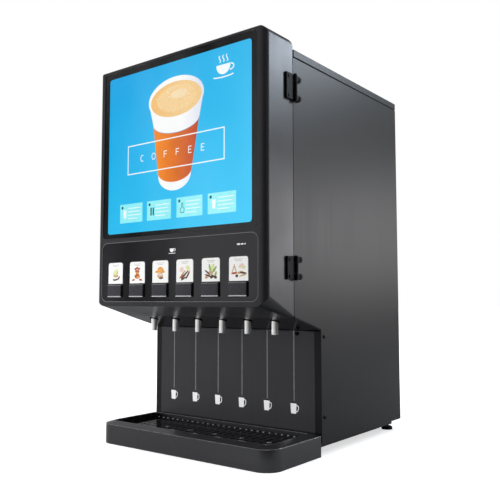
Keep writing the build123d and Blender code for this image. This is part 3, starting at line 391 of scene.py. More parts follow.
slope_low, slope_high = box_mm("underside_panel")
UNDERSIDE_T = 4.3
slope_rise = slope_high.z - slope_low.z - UNDERSIDE_T
slope_run = slope_high.y - slope_low.y
slope_axis = Vector((0, slope_rise, slope_run))
nozzle_low, nozzle_high = box_mm("outlet_nozzles")
STATIONS = 6
NOZZLE_R = (nozzle_high.y - nozzle_low.y) / 2
PITCH = (nozzle_high.x - nozzle_low.x - 2 * NOZZLE_R) / (STATIONS - 1)
nozzle_y = nozzle_low.y + NOZZLE_R
station_x = [nozzle_low.x + NOZZLE_R + i * PITCH for i in range(STATIONS)]
grommets = bmesh.new()
grommet_z = slope_high.z - UNDERSIDE_T / 2 - slope_rise * (nozzle_y - slope_low.y) / slope_run
GROMMET_PROFILE = [(-3.4, 7.9), (-3.4, 10.4), (-2.4, 11.0), (-2.4, 9.1), (2.4, 9.1), (2.4, 11.0), (3.4, 10.4),
                   (3.4, 7.9)]
for x in station_x:
    turned(grommets, slope_axis, (x, nozzle_y, grommet_z), GROMMET_PROFILE, closed=True)
finished("nozzle_grommets", grommets, "cabinet", "rubber_black", rubber)

# ---------------------------------------------------------------- splash panel with its printing
# The splash panel is a folded sheet with the same satin coat. A pale guide line leads down from each outlet
# to a white cup mark, both screen printed.


def slab(bm, outline, front, back, material=0):
    """A flat plate facing the customer; outline holds its (x, z) corners in order."""
    near = [bm.verts.new((x * MM, front * MM, z * MM)) for x, z in outline]
    far = [bm.verts.new((x * MM, back * MM, z * MM)) for x, z in outline]
    faces = [bm.faces.new(near), bm.faces.new(far[::-1])]
    for k in range(len(outline)):
        after = (k + 1) % len(outline)
        faces.append(bm.faces.new((near[k], near[after], far[after], far[k])))
    for face in faces:
        face.material_index = material


def rim(bm, outer, inner, front, back, material=0):
    """A flat ring between two outlines with the same number of points."""
    loops = []
    for outline, y in ((outer, front), (inner, front), (inner, back), (outer, back)):
        loops.append([bm.verts.new((x * MM, y * MM, z * MM)) for x, z in outline])
    for first, second in zip(loops, loops[1:] + loops[:1]):
        for k in range(len(outer)):
            after = (k + 1) % len(outer)
            face = bm.faces.new((first[k], first[after], second[after], second[k]))
            face.material_index = material


def printed(name, first, second, rough=0.5, scale=220.0):
    """Printing ink or card: two tones broken up by a fine blotch."""
    made, tree = blank_material(name)
    surface = placed(tree, coat_grain, Grain=3000.0, Cloud=scale)
    share = remapped(tree, surface["Cloud"], 0.35, 0.65, 0.0, 1.0)
    grain_rough = remapped(tree, surface["Height"], 0.3, 0.7, rough - 0.05, rough + 0.05)
    principled(tree, {"Base Color": blended(tree, share, first, second), "Roughness": grain_rough}, {})
    return made


splash_coat = coated("satin_splash_coat", (0.060, 0.060, 0.066, 1), 0.34, lines=VERTICAL_DRAW, line_share=0.1,
                     Metallic=0.4)
dress(splash_coat, "splash_panel")
line_ink = printed("grey_line_ink", (0.15, 0.15, 0.155, 1), (0.20, 0.20, 0.205, 1))
mark_ink = printed("white_mark_ink", (0.86, 0.86, 0.87, 1), (0.92, 0.92, 0.93, 1))
splash_low, splash_high = box_mm("splash_panel")
PRINT_T = 0.15
print_y = splash_low.y - PRINT_T
LINE_W = 2.8
LINE_SHIFT = -1.0
LINE_BOTTOM_Z = 111.5
guide_lines = bmesh.new()
for x in station_x:
    left = x + LINE_SHIFT - LINE_W / 2
    slab(guide_lines, [(left, LINE_BOTTOM_Z), (left + LINE_W, LINE_BOTTOM_Z), (left + LINE_W, splash_high.z),
                       (left, splash_high.z)], print_y, splash_low.y)
finished("guide_lines", guide_lines, "cabinet", "card_white", line_ink, smooth=False)
MARK_TOP_Z = 106.2
MARK_BODY = [(-11.0, 0.0), (5.3, 0.0), (4.9, -4.0), (4.4, -17.5), (3.9, -22.0), (-9.4, -22.0)]
MARK_GRIP_OUT = [(4.7, -3.2), (8.6, -3.2), (10.4, -4.6), (11.2, -7.4), (11.2, -11.6), (9.6, -15.8),
                 (6.6, -18.2), (4.2, -18.2)]
MARK_GRIP_IN = [(4.7, -5.0), (8.0, -5.0), (9.1, -6.0), (9.5, -7.8), (9.5, -11.2), (8.3, -14.6), (6.0, -16.4),
                (4.3, -16.4)]
cup_marks = bmesh.new()
for x in station_x:
    slab(cup_marks, [(x + u, MARK_TOP_Z + v) for u, v in MARK_BODY], print_y, splash_low.y)
    rim(cup_marks, [(x + u, MARK_TOP_Z + v) for u, v in MARK_GRIP_OUT],
        [(x + u, MARK_TOP_Z + v) for u, v in MARK_GRIP_IN], print_y + 0.01, splash_low.y)
finished("cup_marks", cup_marks, "cabinet", "card_white", mark_ink, smooth=False)

# ---------------------------------------------------------------- screws
# Black screws hold the splash panel and the back panel; a knurled thumb screw locks the splash panel. Each
# has a pressed six-lobe socket.
screw_black = coated("black_oxide_steel", (0.02, 0.02, 0.021, 1), 0.3, grain=(1400.0, 0.006),
                     edge=(0.4, 0.8), Metallic=0.9)
SOCKET_R = 1.9
SCREW_HEAD = [(0.0, 4.5), (0.9, 4.45), (1.6, 4.0), (2.05, 3.2), (2.2, 2.3), (2.2, -SOCKET_R),
              (0.9, -SOCKET_R)]
SIDE_SCREW_Z = (82.0, 255.0)
SIDE_SCREW_INSET = 12.0
BACK_SCREW_X = 235.0
BACK_SCREW_Z = (60.0, 430.0, 820.0)
THUMB_SCREW_X = 188.0
THUMB_SCREW_Z = 260.5
panel_screws = bmesh.new()
side_x = box_mm("right_side_panel")[1].x
for side in (-1, 1):
    for screw_z in SIDE_SCREW_Z:
        turned(panel_screws, (side, 0, 0), (side * side_x, splash_low.y + SIDE_SCREW_INSET, screw_z),
               SCREW_HEAD, lobes=6, steps=36)
back_y = box_mm("back_panel")[1].y
for x in (-BACK_SCREW_X, BACK_SCREW_X):
    for screw_z in BACK_SCREW_Z:
        turned(panel_screws, (0, 1, 0), (x, back_y, screw_z), SCREW_HEAD, lobes=6, steps=36)
THUMB_SCREW = [(0.0, 3.0), (0.6, 3.0), (0.6, 4.2), (3.1, 4.2), (3.5, 3.6), (3.5, -1.6), (2.0, -1.6)]
turned(panel_screws, (0, -1, 0), (THUMB_SCREW_X, splash_low.y, THUMB_SCREW_Z), THUMB_SCREW, lobes=6,
       steps=36)
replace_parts(finished("panel_screw_heads", panel_screws, "cabinet", "screw_steel", screw_black),
            "panel_screws")

# ---------------------------------------------------------------- inner sheets
# The divider behind the cup bay and the shelf that carries the canisters are plain zinc-coated steel,
# cut and folded.
zinc = coated("zinc_sheet", (0.50, 0.51, 0.52, 1), 0.34, lines=(6.0, 900.0, 900.0), line_share=0.12,
              cloud=0.14, dust=0.1, Metallic=0.9)
dress(zinc, "bay_divider", "hopper_shelf")

# ---------------------------------------------------------------- powder canisters
# Six blow-moulded canisters of smoky clear plastic stand side by side on the shelf. Each has a black
# push-on lid.


def clear(name, tone, rough, **sockets):
    """A clear or translucent plastic or glass whose roughness varies a little with handling."""
    made, tree = blank_material(name)
    surface = placed(tree, coat_grain, Grain=160.0, Cloud=14.0)
    colour = blended(tree, surface["Cloud"], shaded(tone, -0.05), shaded(tone, 0.05))
    roughness = remapped(tree, surface["Cloud"], 0.35, 0.75, rough, rough + 0.05)
    principled(tree, {"Base Color": colour, "Roughness": roughness}, sockets)
    return made


smoky = clear("smoky_clear_plastic", (0.80, 0.82, 0.84, 1), 0.16, Transmission_Weight=0.85, IOR=1.48)
dress(smoky, "hopper_canisters")
lid_black = coated("black_lid_plastic", (0.02, 0.02, 0.022, 1), 0.45, grain=(1500.0, 0.02), dust=0.12)
dress(lid_black, "hopper_lids")

# ---------------------------------------------------------------- augers
# A moulded off-white screw turns in the trough of each canister: a round shaft with one continuous helical
# flight.
cream = coated("cream_moulding", (0.74, 0.72, 0.66, 1), 0.42, grain=(1300.0, 0.015), cloud=0.05, dust=0.0,
               edge=(0.5, 0.1))
FLIGHT_PITCH = 17.0
FLIGHT_T = 1.8
FLIGHT_DEPTH = 11.0
FLIGHT_START = 3.0
FLIGHT_END = 236.0
TURN_STEPS = 20
for i in range(STATIONS):
    auger_low, auger_high = box_mm(f"auger_{i + 1}")
    centre = (auger_low + auger_high) / 2
    flight_r = (auger_high.x - auger_low.x) / 2
    shaft_r = flight_r - FLIGHT_DEPTH
    auger = bmesh.new()
    turned(auger, (0, 1, 0), (centre.x, auger_low.y, centre.z),
           [(0, shaft_r - 0.5), (0.5, shaft_r), (auger_high.y - auger_low.y, shaft_r)], steps=20)
    flight_y0 = auger_low.y + FLIGHT_START
    turns = int((auger_low.y + FLIGHT_END - flight_y0) / FLIGHT_PITCH)
    stations = []
    for step in range(turns * TURN_STEPS + 1):
        turn = 2 * math.pi * step / TURN_STEPS
        y = flight_y0 + step * FLIGHT_PITCH / TURN_STEPS
        cut = []
        for radius, shift in ((shaft_r - 0.3, 0), (flight_r, 0.4), (flight_r, FLIGHT_T - 0.4),
                              (shaft_r - 0.3, FLIGHT_T)):
            cut.append(auger.verts.new(((centre.x + radius * math.cos(turn)) * MM, (y + shift) * MM,
                                        (centre.z + radius * math.sin(turn)) * MM)))
        stations.append(cut)
    for first, second in zip(stations, stations[1:]):
        for k in range(4):
            after = (k + 1) % 4
            auger.faces.new((first[k], first[after], second[after], second[k]))
    auger.faces.new(stations[0])
    auger.faces.new(stations[-1][::-1])
    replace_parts(finished(f"auger_screw_{i + 1}", auger, f"auger_{i + 1}", "auger_plastic", cream),
                f"auger_{i + 1}")

# ---------------------------------------------------------------- auger and whipper motors
# Twelve small gear motors turn the augers and the whippers. Each is a dark painted can with two brass
# terminals on a pale moulded end cap.
motor_paint = coated("dark_motor_paint", (0.035, 0.035, 0.04, 1), 0.4, grain=(1100.0, 0.015), Metallic=0.5)
brass = coated("machined_brass", (0.62, 0.44, 0.17, 1), 0.25, lines=(700.0, 40.0, 700.0), cloud=0.12,
               dust=0.0, Metallic=1.0)
white_plastic = coated("white_moulding", (0.90, 0.90, 0.88, 1), 0.38, grain=(1300.0, 0.012), cloud=0.03,
                       edge=(0.5, 0.05), dust=0.04)
dress(motor_paint, "auger_motors", "whipper_motors")


def brick(bm, x0, x1, y0, y1, z0, z1, edge=0.4, material=0):
    """A block with softened edges between two corners, in millimetres."""
    made = bmesh.ops.create_cube(bm, size=1.0)["verts"]
    for vert in made:
        vert.co = Vector((x0 + (vert.co.x + 0.5) * (x1 - x0), y0 + (vert.co.y + 0.5) * (y1 - y0),
                          z0 + (vert.co.z + 0.5) * (z1 - z0))) * MM
    edges = list({e for v in made for e in v.link_edges})
    if edge:
        result = bmesh.ops.bevel(bm, geom=edges, offset=edge * MM, segments=2, affect="EDGES", profile=0.7)
        faces = set(result["faces"]) | {f for v in result["verts"] for f in v.link_faces}
    else:
        faces = {f for v in made for f in v.link_faces}
    for face in faces:
        face.material_index = material


CAP_R = 12.0
CAP = [(0, CAP_R), (1.2, CAP_R), (2.0, CAP_R - 1)]
CAP_BOSS = [(0, 4.0), (1.5, 4.0), (2.0, 3.2)]
TERMINAL_W = 2.8
TERMINAL_X = 8.0
AUGER_MOTOR_Z = 455.0
whippers_low, whippers_high = box_mm("whipper_motors")
motor_rows = ((box_mm("auger_motors")[1].y, AUGER_MOTOR_Z),
              (whippers_high.y, (whippers_low.z + whippers_high.z) / 2))
motor_ends = bmesh.new()
for motor_y, motor_z in motor_rows:
    for x in station_x:
        turned(motor_ends, (0, 1, 0), (x, motor_y, motor_z), CAP, steps=28)
        turned(motor_ends, (0, 1, 0), (x, motor_y + 2, motor_z), CAP_BOSS, steps=20, material=1)
        for side in (-1, 1):
            left = x + side * TERMINAL_X - TERMINAL_W / 2
            brick(motor_ends, left, left + TERMINAL_W, motor_y + 1, motor_y + 8, motor_z - 0.4, motor_z + 0.4,
                  0.15, 1)
finished("motor_end_caps", motor_ends, "cabinet", "motor_dark", white_plastic, brass)

# ---------------------------------------------------------------- bowls, whippers and outlets
# Powder and hot water meet in dark moulded bowls, a paddle wheel whips them, and the drink leaves through a
# ribbed white tube below each bowl.
bowl_plastic = coated("dark_bowl_plastic", (0.03, 0.03, 0.034, 1), 0.3, grain=(900.0, 0.01), dust=0.0)
dress(bowl_plastic, "mixing_bowls")
orange_plastic = coated("orange_wheel_plastic", (0.62, 0.17, 0.03, 1), 0.36, grain=(1200.0, 0.01), dust=0.0)
dress(orange_plastic, *[f"whipper_{i + 1}" for i in range(STATIONS)])
outlets = bmesh.new()
RIB_PITCH = 5.0
RIB_DEPTH = 0.45
BORE_R = NOZZLE_R - 2.0
tube_height = nozzle_high.z - nozzle_low.z
outside = [(0.0, NOZZLE_R - 0.7), (0.7, NOZZLE_R)]
for rib in range(1, 6):
    rib_z = rib * RIB_PITCH
    outside += [(rib_z - 0.6, NOZZLE_R), (rib_z - 0.3, NOZZLE_R - RIB_DEPTH),
                (rib_z + 0.3, NOZZLE_R - RIB_DEPTH), (rib_z + 0.6, NOZZLE_R)]
outside += [(tube_height, NOZZLE_R), (tube_height, BORE_R), (0.5, BORE_R), (0.0, BORE_R + 0.5)]
for x in station_x:
    turned(outlets, (0, 0, 1), (x, nozzle_y, nozzle_low.z), outside, closed=True, steps=40)
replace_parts(finished("ribbed_outlets", outlets, "cabinet", "nozzle_white", white_plastic), "outlet_nozzles")

# ---------------------------------------------------------------- hot water tank
# A welded tank of brushed stainless steel with a flat lid; the heating loop hangs from the lid, and each end
# carries a ceramic bead, a nut and a terminal.
tank_steel = coated("brushed_tank_steel", (0.56, 0.56, 0.55, 1), 0.28, lines=(5.0, 5.0, 1000.0), cloud=0.08,
                    dust=0.08, Metallic=1.0)
dress(tank_steel, "water_tank", "tank_lid")
sheath = coated("heat_tinted_sheath", (0.30, 0.24, 0.20, 1), 0.35, grain=(500.0, 0.02), cloud=0.3, dust=0.0,
                Metallic=1.0)
dress(sheath, "heating_element")
heater_low, heater_high = box_mm("heating_element")
tank_lid_top = box_mm("tank_lid")[1].z
SHEATH_R = 4.0
HEATER_NUT = [(0, 9), (5, 9), (5.6, 8.4)]
HEATER_BEAD = [(-4, 5.5), (2, 5.5), (3, 4)]
heater_fittings = bmesh.new()
for x in (heater_low.x + SHEATH_R, heater_high.x - SHEATH_R):
    y = (heater_low.y + heater_high.y) / 2
    turned(heater_fittings, (0, 0, 1), (x, y, tank_lid_top), HEATER_NUT, steps=6)
    turned(heater_fittings, (0, 0, 1), (x, y, heater_high.z), HEATER_BEAD, steps=24, material=1)
    brick(heater_fittings, x - 3, x + 3, y - 0.5, y + 0.5, heater_high.z + 3, heater_high.z + 12, 0.2)
finished("heater_fittings", heater_fittings, "cabinet", "brass", brass, white_plastic)

# ---------------------------------------------------------------- dispense valves and water tubes
# White solenoid valves on the tank's front wall let hot water into silicone tubes, which lead to the bowls.
# A spring clip holds each end of a tube.
valve_plastic = coated("valve_plastic", (0.74, 0.74, 0.70, 1), 0.4, grain=(1300.0, 0.012), cloud=0.04)
dress(valve_plastic, "dispense_valves")
silicone = clear("silicone_tube", (0.82, 0.82, 0.80, 1), 0.35, Transmission_Weight=0.35, IOR=1.41)
dress(silicone, "water_tubes")
tubes_low, tubes_high = box_mm("water_tubes")
TUBE_R = 4.0
CLIP_INSET = 6.0
CLIP = [(-2.2, TUBE_R), (-2.2, TUBE_R + 0.9), (2.2, TUBE_R + 0.9), (2.2, TUBE_R)]
clip_places = ((tubes_low.y + CLIP_INSET, tubes_low.z + TUBE_R),
               (tubes_high.y - CLIP_INSET, tubes_high.z - TUBE_R))
tube_clips = bmesh.new()
for x in station_x:
    for clip_y, clip_z in clip_places:
        turned(tube_clips, (0, 1, 0), (x, clip_y, clip_z), CLIP, closed=True, steps=24)
finished("tube_clips", tube_clips, "cabinet", "tank_steel", tank_steel)

# ---------------------------------------------------------------- water inlet
# The water inlet valve is machined brass. Its connector stands out of the back panel and has a male
# hose thread, cut as one helical ridge.
dress(brass, "water_inlet_valve")
WATER_X = 150.0
WATER_Z = 90.0
THREAD_R = 13.2
THREAD_PITCH = 1.8
THREAD_CREST = 0.55
THREAD_START = 3.2
RUN_OUT = 5.0
THREAD_TURN_STEPS = 32
LEAD_STEPS = THREAD_TURN_STEPS / 2
thread = bmesh.new()
thread_length = box_mm("water_inlet_valve")[1].y - back_y - RUN_OUT
thread_steps = int(thread_length / THREAD_PITCH * THREAD_TURN_STEPS)
cuts = []
for step in range(thread_steps + 1):
    turn = 2 * math.pi * step / THREAD_TURN_STEPS
    y = back_y + THREAD_START + THREAD_PITCH * step / THREAD_TURN_STEPS
    crest = THREAD_CREST * min(1.0, step / LEAD_STEPS, (thread_steps - step) / LEAD_STEPS)
    cut = []
    for radius, shift in ((THREAD_R - 0.1, -0.75), (THREAD_R + crest, 0.0), (THREAD_R - 0.1, 0.75)):
        cut.append(thread.verts.new(((WATER_X + radius * math.cos(turn)) * MM, (y + shift) * MM,
                                     (WATER_Z + radius * math.sin(turn)) * MM)))
    cuts.append(cut)
for first, second in zip(cuts, cuts[1:]):
    for k in range(3):
        after = (k + 1) % 3
        thread.faces.new((first[k], first[after], second[after], second[k]))
thread.faces.new(cuts[0])
thread.faces.new(cuts[-1][::-1])
finished("inlet_thread", thread, "cabinet", "brass", brass)

# ---------------------------------------------------------------- mains inlet, power supply
# The three-pin appliance socket is a black moulding screwed to the back panel; the power supply is a folded
# aluminium box on the floor.
inlet_black = coated("black_inlet_plastic", (0.018, 0.018, 0.02, 1), 0.35, grain=(1300.0, 0.012))
dress(inlet_black, "mains_inlet")
aluminium = coated("folded_aluminium", (0.60, 0.60, 0.61, 1), 0.36, lines=(6.0, 900.0, 900.0), Metallic=1.0)
dress(aluminium, "power_supply")
mains_low, mains_high = box_mm("mains_inlet")
mains_z = (mains_low.z + mains_high.z) / 2
EAR_INSET = 4.5
EAR_SCREW = [(0, 2.6), (0.9, 2.4), (1.2, 1.8), (1.2, -1.1), (0.4, -1.1)]
mains_fittings = bmesh.new()
for x in (mains_low.x + EAR_INSET, mains_high.x - EAR_INSET):
    turned(mains_fittings, (0, 1, 0), (x, mains_high.y, mains_z), EAR_SCREW, lobes=4, steps=24)
finished("mains_inlet_screws", mains_fittings, "cabinet", "screw_steel", screw_black)

# ---------------------------------------------------------------- control board
# A green glass-fibre circuit board stands on four screwed posts. It carries four relays, a transformer, a
# chip, a finned block, resistors, capacitors and three wire connectors.
board_green = coated("green_board", (0.012, 0.13, 0.05, 1), 0.3, grain=(500.0, 0.02), cloud=0.25, dust=0.03)
relay_blue = coated("relay_blue", (0.02, 0.08, 0.32, 1), 0.35, dust=0.02)
chip_black = coated("chip_black", (0.015, 0.015, 0.016, 1), 0.45, dust=0.02)
board_low, board_high = box_mm("control_board")
POST_H = 8.0
POST_INSET = 8.0
PLATE_T = 1.6
BLUE, BLACK, WHITE, BRIGHT, YELLOW = range(1, 6)
plate_y = board_low.y + POST_H
top_y = plate_y + PLATE_T
board = bmesh.new()
brick(board, board_low.x, board_high.x, plate_y, top_y, board_low.z, board_high.z, 0.2)
for x in (board_low.x + POST_INSET, board_high.x - POST_INSET):
    for z in (board_low.z + POST_INSET, board_high.z - POST_INSET):
        turned(board, (0, 1, 0), (x, board_low.y, z), [(0, 3), (POST_H, 3)], steps=6, material=BRIGHT)
        turned(board, (0, 1, 0), (x, top_y, z), [(0, 3.2), (1.4, 2.8), (1.4, -1.2), (0.6, -1.2)],
               steps=24, material=BRIGHT, lobes=4)
# x, height over the plate and z of each end, then edge and colour
RELAYS = [(x - 9, x + 9, 0, 16, 682, 702, 0.6, BLUE) for x in (-100, -76, -52, -28)]
TRANSFORMER = [(-98, -46, 0, 24, 582, 618, 1.0, BLACK), (-92, -52, 2, 28, 590, 610, 1.5, YELLOW)]
CHIP = [(8, 32, 0, 2.5, 598, 622, 0.3, BLACK)]
CHIP_LEGS = [(x, x + 3, 0, 0.8, z - 0.5, z + 0.5, 0, BRIGHT) for z in range(600, 622, 3) for x in (5, 32)]
CONNECTORS = [(x - 9, x + 9, 0, 8, 704, 713, 0.4, WHITE) for x in (40, 62, 84)]
RESISTORS = [(96, 108, 0, 1.4, z, z + 4, 0.2, BLACK) for z in range(636, 672, 9)]
FIN_BLOCK = [(40, 88, 0, 12, 660, 690, 0.5, BRIGHT)]
FINS = [(x, x + 2, 12, 20, 661, 689, 0.2, BRIGHT) for x in range(42, 88, 6)]
PARTS = RELAYS + TRANSFORMER + CHIP + CHIP_LEGS + CONNECTORS + RESISTORS + FIN_BLOCK + FINS
for x0, x1, foot, head, z0, z1, edge, tone in PARTS:
    brick(board, x0, x1, top_y + foot, top_y + head, z0, z1, edge, tone)
for x in (62, 78, 94):
    turned(board, (0, 1, 0), (x, top_y, 590), [(0, 6), (15, 6), (16, 5.2)], steps=24, material=BLACK)
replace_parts(finished("control_board_assembly", board, "cabinet", "circuit_board", board_green, relay_blue,
                     chip_black, white_plastic, tank_steel, brass), "control_board")

# ---------------------------------------------------------------- hinges
# Two black cast hinges on the right: lugs on the cabinet, a leaf on the door and a steel pin. Socket screws
# hold the lugs.
hinge_black = coated("black_hinge_casting", (0.004, 0.004, 0.005, 1), 0.5, grain=(700.0, 0.02),
                     edge=(0.5, 0.6), dust=0.0, Specular_IOR_Level=0.15)
dress(hinge_black, "cabinet_hinge_leaves", "door_hinge_leaves")
dress(screw_black, "hinge_pins")
LUG_Z = (382.675, 417.825, 759.15, 799.85)
LUG_T = 4.6
PIN_TO_EDGE = 4.5
PIN_TO_SCREW = 16.0
LUG_WASHER = [(0, 6.2), (1.6, 6.2), (2.4, 5.4)]
LUG_SCREW = [(0.0, 3.6), (0.8, 3.6), (1.3, 3.1), (1.3, -1.7), (0.5, -1.7)]
lug_face = side_x + LUG_T
hinge_y = box_mm("door_hinge_leaves")[1].y - PIN_TO_EDGE
screw_y = hinge_y + PIN_TO_SCREW
hinge_screws = bmesh.new()
for z in LUG_Z:
    turned(hinge_screws, (1, 0, 0), (lug_face, screw_y, z), LUG_WASHER, steps=36)
    turned(hinge_screws, (1, 0, 0), (lug_face + 2.2, screw_y, z), LUG_SCREW, lobes=6, steps=36)
    brick(hinge_screws, lug_face - 0.4, lug_face + 2.2, hinge_y + 5.5, hinge_y + 15, z - 4.6, z + 4.6, 1.0)
finished("hinge_lug_screws", hinge_screws, "cabinet", "screw_steel", hinge_black)

# ---------------------------------------------------------------- door
# The door is one deep moulding in satin dark plastic with rounded front edges, along which a pale highlight
# line is painted. A white moulded sheet closes its back.
# Painted highlight: the rounded edges take a pale grey line.
door_coat = coated("satin_door_moulding", (0.056, 0.056, 0.061, 1), 0.32, grain=(1100.0, 0.008), cloud=0.06,
                   edge=(1.4, 0.8), dust=0.05, painted_highlight_tone=(0.14, 0.14, 0.145, 1), Metallic=0.5)
dress(door_coat, "door_shell")
dress(white_plastic, "door_back_cover")

# ---------------------------------------------------------------- lit picture
# Tempered glass with a black border printed on its back covers a translucent printed sheet, lit from behind
# by LED strips. The picture shows a paper cup of coffee on blue.


def arc(cx, cz, rx, rz, start, end, steps):
    """Points along an ellipse from one angle to another, in degrees."""
    turns = [math.radians(start + (end - start) * k / steps) for k in range(steps + 1)]
    return [(cx + rx * math.cos(t), cz + rz * math.sin(t)) for t in turns]


def rounded_outline(x0, x1, z0, z1, low_r, top_r, steps=8):
    """A rectangle with round corners, as (x, z) points."""
    return (arc(x1 - low_r, z0 + low_r, low_r, low_r, -90, 0, steps)
            + arc(x1 - top_r, z1 - top_r, top_r, top_r, 0, 90, steps)
            + arc(x0 + top_r, z1 - top_r, top_r, top_r, 90, 180, steps)
            + arc(x0 + low_r, z0 + low_r, low_r, low_r, 180, 270, steps))


SHEET_GLOW = 1.08


def lit_print(name, left, right, x0, x1, mottle=0.04, scale=60.0):
    """Translucent ink lit from behind, running from one tone to another across the picture."""
    made, tree = blank_material(name)
    across = node(tree, "ShaderNodeSeparateXYZ", {0: object_place(tree)}).outputs["X"]
    share = remapped(tree, across, x0 * MM, x1 * MM, 0.0, 1.0)
    speck = placed(tree, coat_grain, Grain=2500.0, Cloud=scale)["Cloud"]
    tone = blended(tree, share, left, right)
    deep = blended(tree, share, shaded(left, -2 * mottle), shaded(right, -2 * mottle))
    colour = blended(tree, remapped(tree, speck, 0.35, 0.65, 0.0, 1.0), deep, tone)
    principled(tree, {"Base Color": (0.02, 0.02, 0.02, 1), "Roughness": 0.6, "Emission Color": colour,
                      "Emission Strength": SHEET_GLOW}, {})
    return made


glass_low, glass_high = box_mm("lightbox_glass")
sheet_low, sheet_high = box_mm("lightbox_sheet")
front_glass = clear("tempered_glass", (0.96, 0.98, 0.98, 1), 0.01, Transmission_Weight=1.0, IOR=1.45)
dress(front_glass, "lightbox_glass")

blue_print, blue_tree = blank_material("blue_printed_sheet")
sheet_place = node(blue_tree, "ShaderNodeSeparateXYZ", {0: object_place(blue_tree)})
sheet_across = remapped(blue_tree, sheet_place.outputs["X"], sheet_low.x * MM, sheet_high.x * MM, 0.0, 1.0)
sheet_up = remapped(blue_tree, sheet_place.outputs["Z"], sheet_low.z * MM, sheet_high.z * MM, 0.0, 1.0)
blue_low = blended(blue_tree, sheet_across, screen_colour(34, 190, 242), screen_colour(66, 205, 252))
blue_top = blended(blue_tree, sheet_across, screen_colour(0, 166, 232), screen_colour(56, 186, 238))
blue_tone = blended(blue_tree, sheet_up, blue_low, blue_top)
blue_cloud = placed(blue_tree, coat_grain, Grain=2500.0, Cloud=5.0)["Cloud"]
blue_tone = blended(blue_tree, remapped(blue_tree, blue_cloud, 0.4, 0.7, 0.0, 0.12), blue_tone,
                    screen_colour(70, 210, 250))
principled(blue_tree, {"Base Color": (0.02, 0.05, 0.06, 1), "Roughness": 0.6, "Emission Color": blue_tone,
                       "Emission Strength": SHEET_GLOW}, {})
dress(blue_print, "lightbox_sheet")

BORDER_FRONT = glass_high.y + 0.04
BORDER_T = 0.16
BORDER_INSET = 0.3
GLASS_CORNER = 8.5
PICTURE_CORNER = 7.0
PICTURE = (-215.6, 215.6, 490.0, 866.0)
glass_edge = rounded_outline(glass_low.x + BORDER_INSET, glass_high.x - BORDER_INSET,
                             glass_low.z + BORDER_INSET, glass_high.z - BORDER_INSET,
                             GLASS_CORNER, GLASS_CORNER)
border = bmesh.new()
rim(border, glass_edge, rounded_outline(*PICTURE, PICTURE_CORNER, PICTURE_CORNER), BORDER_FRONT,
    BORDER_FRONT + BORDER_T)
border_ink = printed("black_border_ink", (0.004, 0.004, 0.005, 1), (0.007, 0.007, 0.008, 1), rough=0.25)
finished("glass_border", border, "door", "panel_gloss", border_ink, smooth=False)

# ---------------------------------------------------------------- pictured cup
# The sheet's print shows a paper cup with an orange sleeve and froth. Its flat shapes lie one before the
# other as thin films in the gap between the glass and the sheet.
LAYERS = 6
layer_depth = (sheet_low.y - BORDER_FRONT - 0.3) / LAYERS


def layer(number):
    """Front and back of a picture layer; a higher number lies nearer the glass."""
    front = sheet_low.y - 0.05 - number * layer_depth
    return front, front + layer_depth * 0.5


def sagging(left, right, z, sag, steps=24):
    """A line from left to right that hangs down in the middle like the rim of a round cup."""
    return arc((left + right) / 2, z, (right - left) / 2, sag, 180, 360, steps)


lit_white = lit_print("lit_white", screen_colour(255, 255, 255), screen_colour(232, 234, 246), 20, 75, 0.01)
lit_foam = lit_print("lit_foam", screen_colour(252, 198, 122), screen_colour(250, 212, 150), -75, 30, 0.04,
                     scale=160.0)
lit_froth = lit_print("lit_froth", screen_colour(255, 218, 160), screen_colour(254, 216, 156), -40, 60, 0.05,
                      scale=220.0)
lit_milk = lit_print("lit_milk", screen_colour(255, 232, 192), screen_colour(253, 226, 182), -20, 40, 0.04,
                     scale=220.0)
lit_sleeve = lit_print("lit_orange_sleeve", screen_colour(252, 142, 30), screen_colour(202, 78, 44), -52, 66,
                       0.05, scale=30.0)
RIM_Z = 783.5
cup = bmesh.new()
slab(cup, arc(2.0, RIM_Z, 84.0, 48.0, 0, 360, 64)[:-1], *layer(2), 0)
BODY = sagging(-80.5, 84.5, RIM_Z - 4, 2) + sagging(-67.0, 73.5, 732.0, 27.0)[::-1]
slab(cup, BODY, *layer(1), 0)
SLEEVE = sagging(-66.8, 73.2, 731.0, 27.0) + sagging(-50.8, 52.0, 620.0, 25.5)[::-1]
slab(cup, SLEEVE, *layer(1.5), 1)
BASE = sagging(-52.0, 53.0, 622.0, 10.0) + sagging(-49.4, 49.4, 611.0, 35.5)[::-1]
slab(cup, BASE, *layer(1), 0)
slab(cup, arc(2.4, 780.5, 77.5, 39.5, 0, 360, 64)[:-1], *layer(3), 2)
for ring in range(5):
    share = 1 - 0.17 * ring
    slab(cup, arc(4.0 + ring, 781.0 + ring, 72.0 * share, 36.0 * share, 0, 360, 48)[:-1],
         *layer(3.1 + 0.08 * ring), 2 if ring < 1 else 3)
slab(cup, arc(14.0, 790.0, 26.0, 10.0, 0, 360, 40)[:-1], *layer(3.55), 4)
froth_random = random.Random(5)
for spot in range(60):
    turn = froth_random.uniform(0, 2 * math.pi)
    reach = froth_random.uniform(0.25, 1.0)
    size = froth_random.uniform(0.8, 3.4)
    spot_x = 5 + 64 * reach * math.cos(turn)
    spot_z = 781 + 31 * reach * math.sin(turn)
    slab(cup, arc(spot_x, spot_z, size, size * 0.55, 0, 360, 10)[:-1], *layer(3.65 + 0.005 * spot),
         4 if spot % 3 else 2)
finished("picture_cup", cup, "door", "picture_sheet", lit_white, lit_sleeve, lit_foam, lit_froth, lit_milk,
         smooth=False)

# ---------------------------------------------------------------- word across the cup
# A thin white frame with one word in spaced line letters crosses the pictured cup. Both are printed in
# white on the same sheet.


